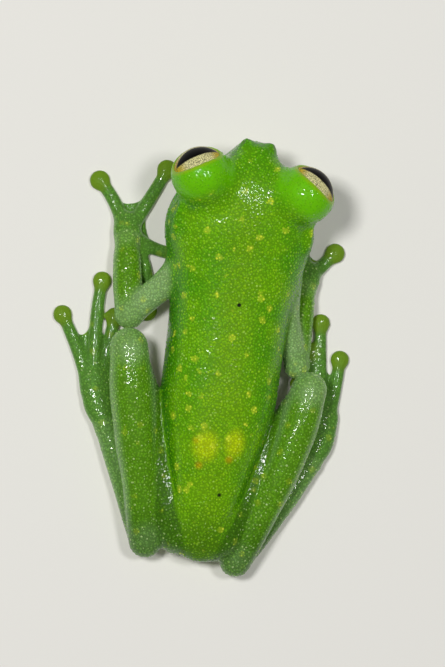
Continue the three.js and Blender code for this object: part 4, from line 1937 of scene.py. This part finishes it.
class Eyes:
    """The two eyeballs, each a piece of its own in its lids."""

    pupil_lift = math.radians(30)
    rings = 48
    sectors = 64

    def __init__(self, head: Head, shift: np.ndarray) -> None:
        """Takes the head that carries them and the way to the model's frame."""
        self.head = head
        self.shift = shift

    def faces(self) -> list[tuple[int, ...]]:
        """The faces of a ball whose last two vertices are its front and its back.

        Returns:
            Each face's corners.
        """
        n = self.sectors
        last = (self.rings - 2) * n
        front, back = last + n, last + n + 1
        made = []
        for j in range(n):
            k = (j + 1) % n
            made.append((front, j, k))
            for i in range(self.rings - 2):
                made.append((i * n + j, (i + 1) * n + j, (i + 1) * n + k, i * n + k))
            made.append((back, last + k, last + j))
        return made

    def build(self, side: Side) -> bpy.types.Object:
        """Makes one eyeball, with each vertex's direction from the pupil stored on it.

        Args:
            side: The eye's side.

        Returns:
            The eyeball.
        """
        sizes = self.head.eye
        ahead, level, steep = sizes.axes(side, self.pupil_lift)
        polar = np.linspace(0.0, math.pi, self.rings + 1)[1:-1]
        around = np.linspace(0.0, 2 * math.pi, self.sectors, endpoint=False)
        p, a = np.meshgrid(polar, around, indexing="ij")
        gaze = np.stack([np.sin(p) * np.cos(a), np.sin(p) * np.sin(a), np.cos(p)], axis=-1).reshape(-1, 3)
        gaze = np.concatenate([gaze, [(0, 0, 1)], [(0, 0, -1)]])
        unit = gaze @ np.stack([level, steep, ahead])
        spots = self.head.to_frog(sizes.centre(side) + unit * sizes.ball)
        name = f"eyeball_{side.word}"
        mesh = bpy.data.meshes.new(name)
        faces = self.faces()
        mesh.from_pydata([tuple(s) for s in (spots + self.shift) * MM], [], faces)
        mesh.polygons.foreach_set("use_smooth", np.ones(len(faces), bool))
        mesh.update()
        layer = mesh.attributes.new("gaze", "FLOAT_VECTOR", "POINT")
        layer.data.foreach_set("vector", gaze.astype(np.float32).ravel())
        made = bpy.data.objects.new(name, mesh)
        bpy.context.scene.collection.objects.link(made)
        return made


@dataclass(frozen=True)
class Lamp:
    """A soft square lamp that faces the frog, with its place and size in metres."""

    name: str
    place: Point
    size: float
    watts: float

    def hang(self) -> None:
        """Adds the lamp to the scene."""
        data = bpy.data.lights.new(self.name, "AREA")
        data.size, data.energy = self.size, self.watts
        made = bpy.data.objects.new(self.name, data)
        turn = Vector(self.place).to_track_quat("Z", "Y").to_matrix().to_4x4()
        made.matrix_world = Matrix.Translation(self.place) @ turn
        bpy.context.scene.collection.objects.link(made)


class Studio:
    """A pale floor, soft light and the camera above the frog, at a stated number of pixels per millimetre."""

    scale = 16.0
    distance = 260.0
    target = (0.28, -1.09, 3.0)
    tilt = math.radians(7.0)
    roll = math.radians(7.1)
    sensor = 36.0
    clip = (0.01, 10.0)
    floor_reach = 1.5
    floor_colour = "e4e2dc"
    floor_roughness = 0.8
    lamps = (Lamp("key", (0.115, -0.035, 0.32), 0.05, 0.68), Lamp("fill", (-0.07, -0.045, 0.33), 0.05, 0.34))
    sky_colour = "f2f3f2"
    sky_strength = 0.17

    def __init__(self, shift: np.ndarray) -> None:
        """Takes the way from the working frame to the model's, in millimetres."""
        self.shift = shift

    def camera(self) -> None:
        """Looks straight down, tilted a little to the frog's left and turned with the photo."""
        away = Vector((math.sin(self.tilt), 0.0, math.cos(self.tilt)))
        right = Vector((-math.cos(self.tilt), 0.0, math.sin(self.tilt)))
        up = Vector((0.0, -1.0, 0.0))
        c, s = math.cos(self.roll), math.sin(self.roll)
        up_turned = up * c - right * s
        right_turned = right * c + up * s
        data = bpy.data.cameras.new("camera")
        made = bpy.data.objects.new("camera", data)
        bpy.context.scene.collection.objects.link(made)
        place = (Vector(self.target) + Vector(self.shift) + away * self.distance) * MM
        turn = Matrix((right_turned, up_turned, away)).transposed().to_4x4()
        made.matrix_world = Matrix.Translation(place) @ turn
        data.sensor_width = self.sensor
        data.lens = self.sensor * self.scale * self.distance / max(PHOTO_SIZE)
        data.clip_start, data.clip_end = self.clip
        bpy.context.scene.camera = made

    def floor(self) -> None:
        """Lays a plain pale floor."""
        reach = self.floor_reach
        spots = np.array([(-reach, -reach, 0), (reach, -reach, 0), (reach, reach, 0), (-reach, reach, 0)])
        made = mesh_object("floor", spots, np.array([[0, 1, 2, 3]]))
        paint = Paint("pale_floor")
        sizes = {"base_color": linear(self.floor_colour), "roughness": self.floor_roughness}
        shader = add_node(paint.tree, "ShaderNodeBsdfPrincipled", **sizes)
        made.data.materials.append(paint.finish(shader))

    def light(self) -> None:
        """Hangs a key lamp and a weaker fill under an even sky.

        The plain view transform keeps the greens as saturated as the photo has them.
        """
        for lamp in self.lamps:
            lamp.hang()
        world = bpy.data.worlds.new("sky")
        world.use_nodes = True
        background = world.node_tree.nodes["Background"]
        background.inputs["Color"].default_value = linear(self.sky_colour)
        background.inputs["Strength"].default_value = self.sky_strength
        bpy.context.scene.world = world
        bpy.context.scene.view_settings.view_transform = "Standard"


COATS = (("granules_body", "grain_body"), ("granules_limbs", "grain_limbs"))


def report(piece: bpy.types.Object) -> None:
    """Logs how many triangles a piece has."""
    count = sum(len(face.vertices) - 2 for face in piece.data.polygons)
    log.info("%s: %d triangles", piece.name, count)


def main() -> None:
    """Builds the frog and its studio."""
    logging.basicConfig(level=logging.INFO, format="%(name)s: %(message)s")
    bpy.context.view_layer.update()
    head = Head()
    low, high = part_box("eye_left")
    shift = np.array((low + high) / 2) / MM - head.to_frog(head.eye.centre(Side.LEFT))
    skin = Skin(shift).build()
    unwrap(skin)
    finish = FrogSkin(shift=tuple(shift))
    skin.data.materials.append(finish.material(granular=False))
    grain_finish = finish.material(granular=True)
    granules = Granules()
    coats = [granules.grow(skin, name, where, grain_finish) for name, where in COATS]
    for piece in (skin, *coats):
        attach(piece, "root")
        report(piece)
    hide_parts(*[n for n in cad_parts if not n.startswith("eye")])
    eyes = Eyes(head, shift)
    wet = FrogEye().material()
    for side in Side:
        ball = eyes.build(side)
        ball.data.materials.append(wet)
        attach(ball, "root")
        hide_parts(f"eye_{side.word}")
        report(ball)
    studio = Studio(shift)
    studio.camera()
    studio.floor()
    studio.light()


if __name__ == "__main__":
    main()
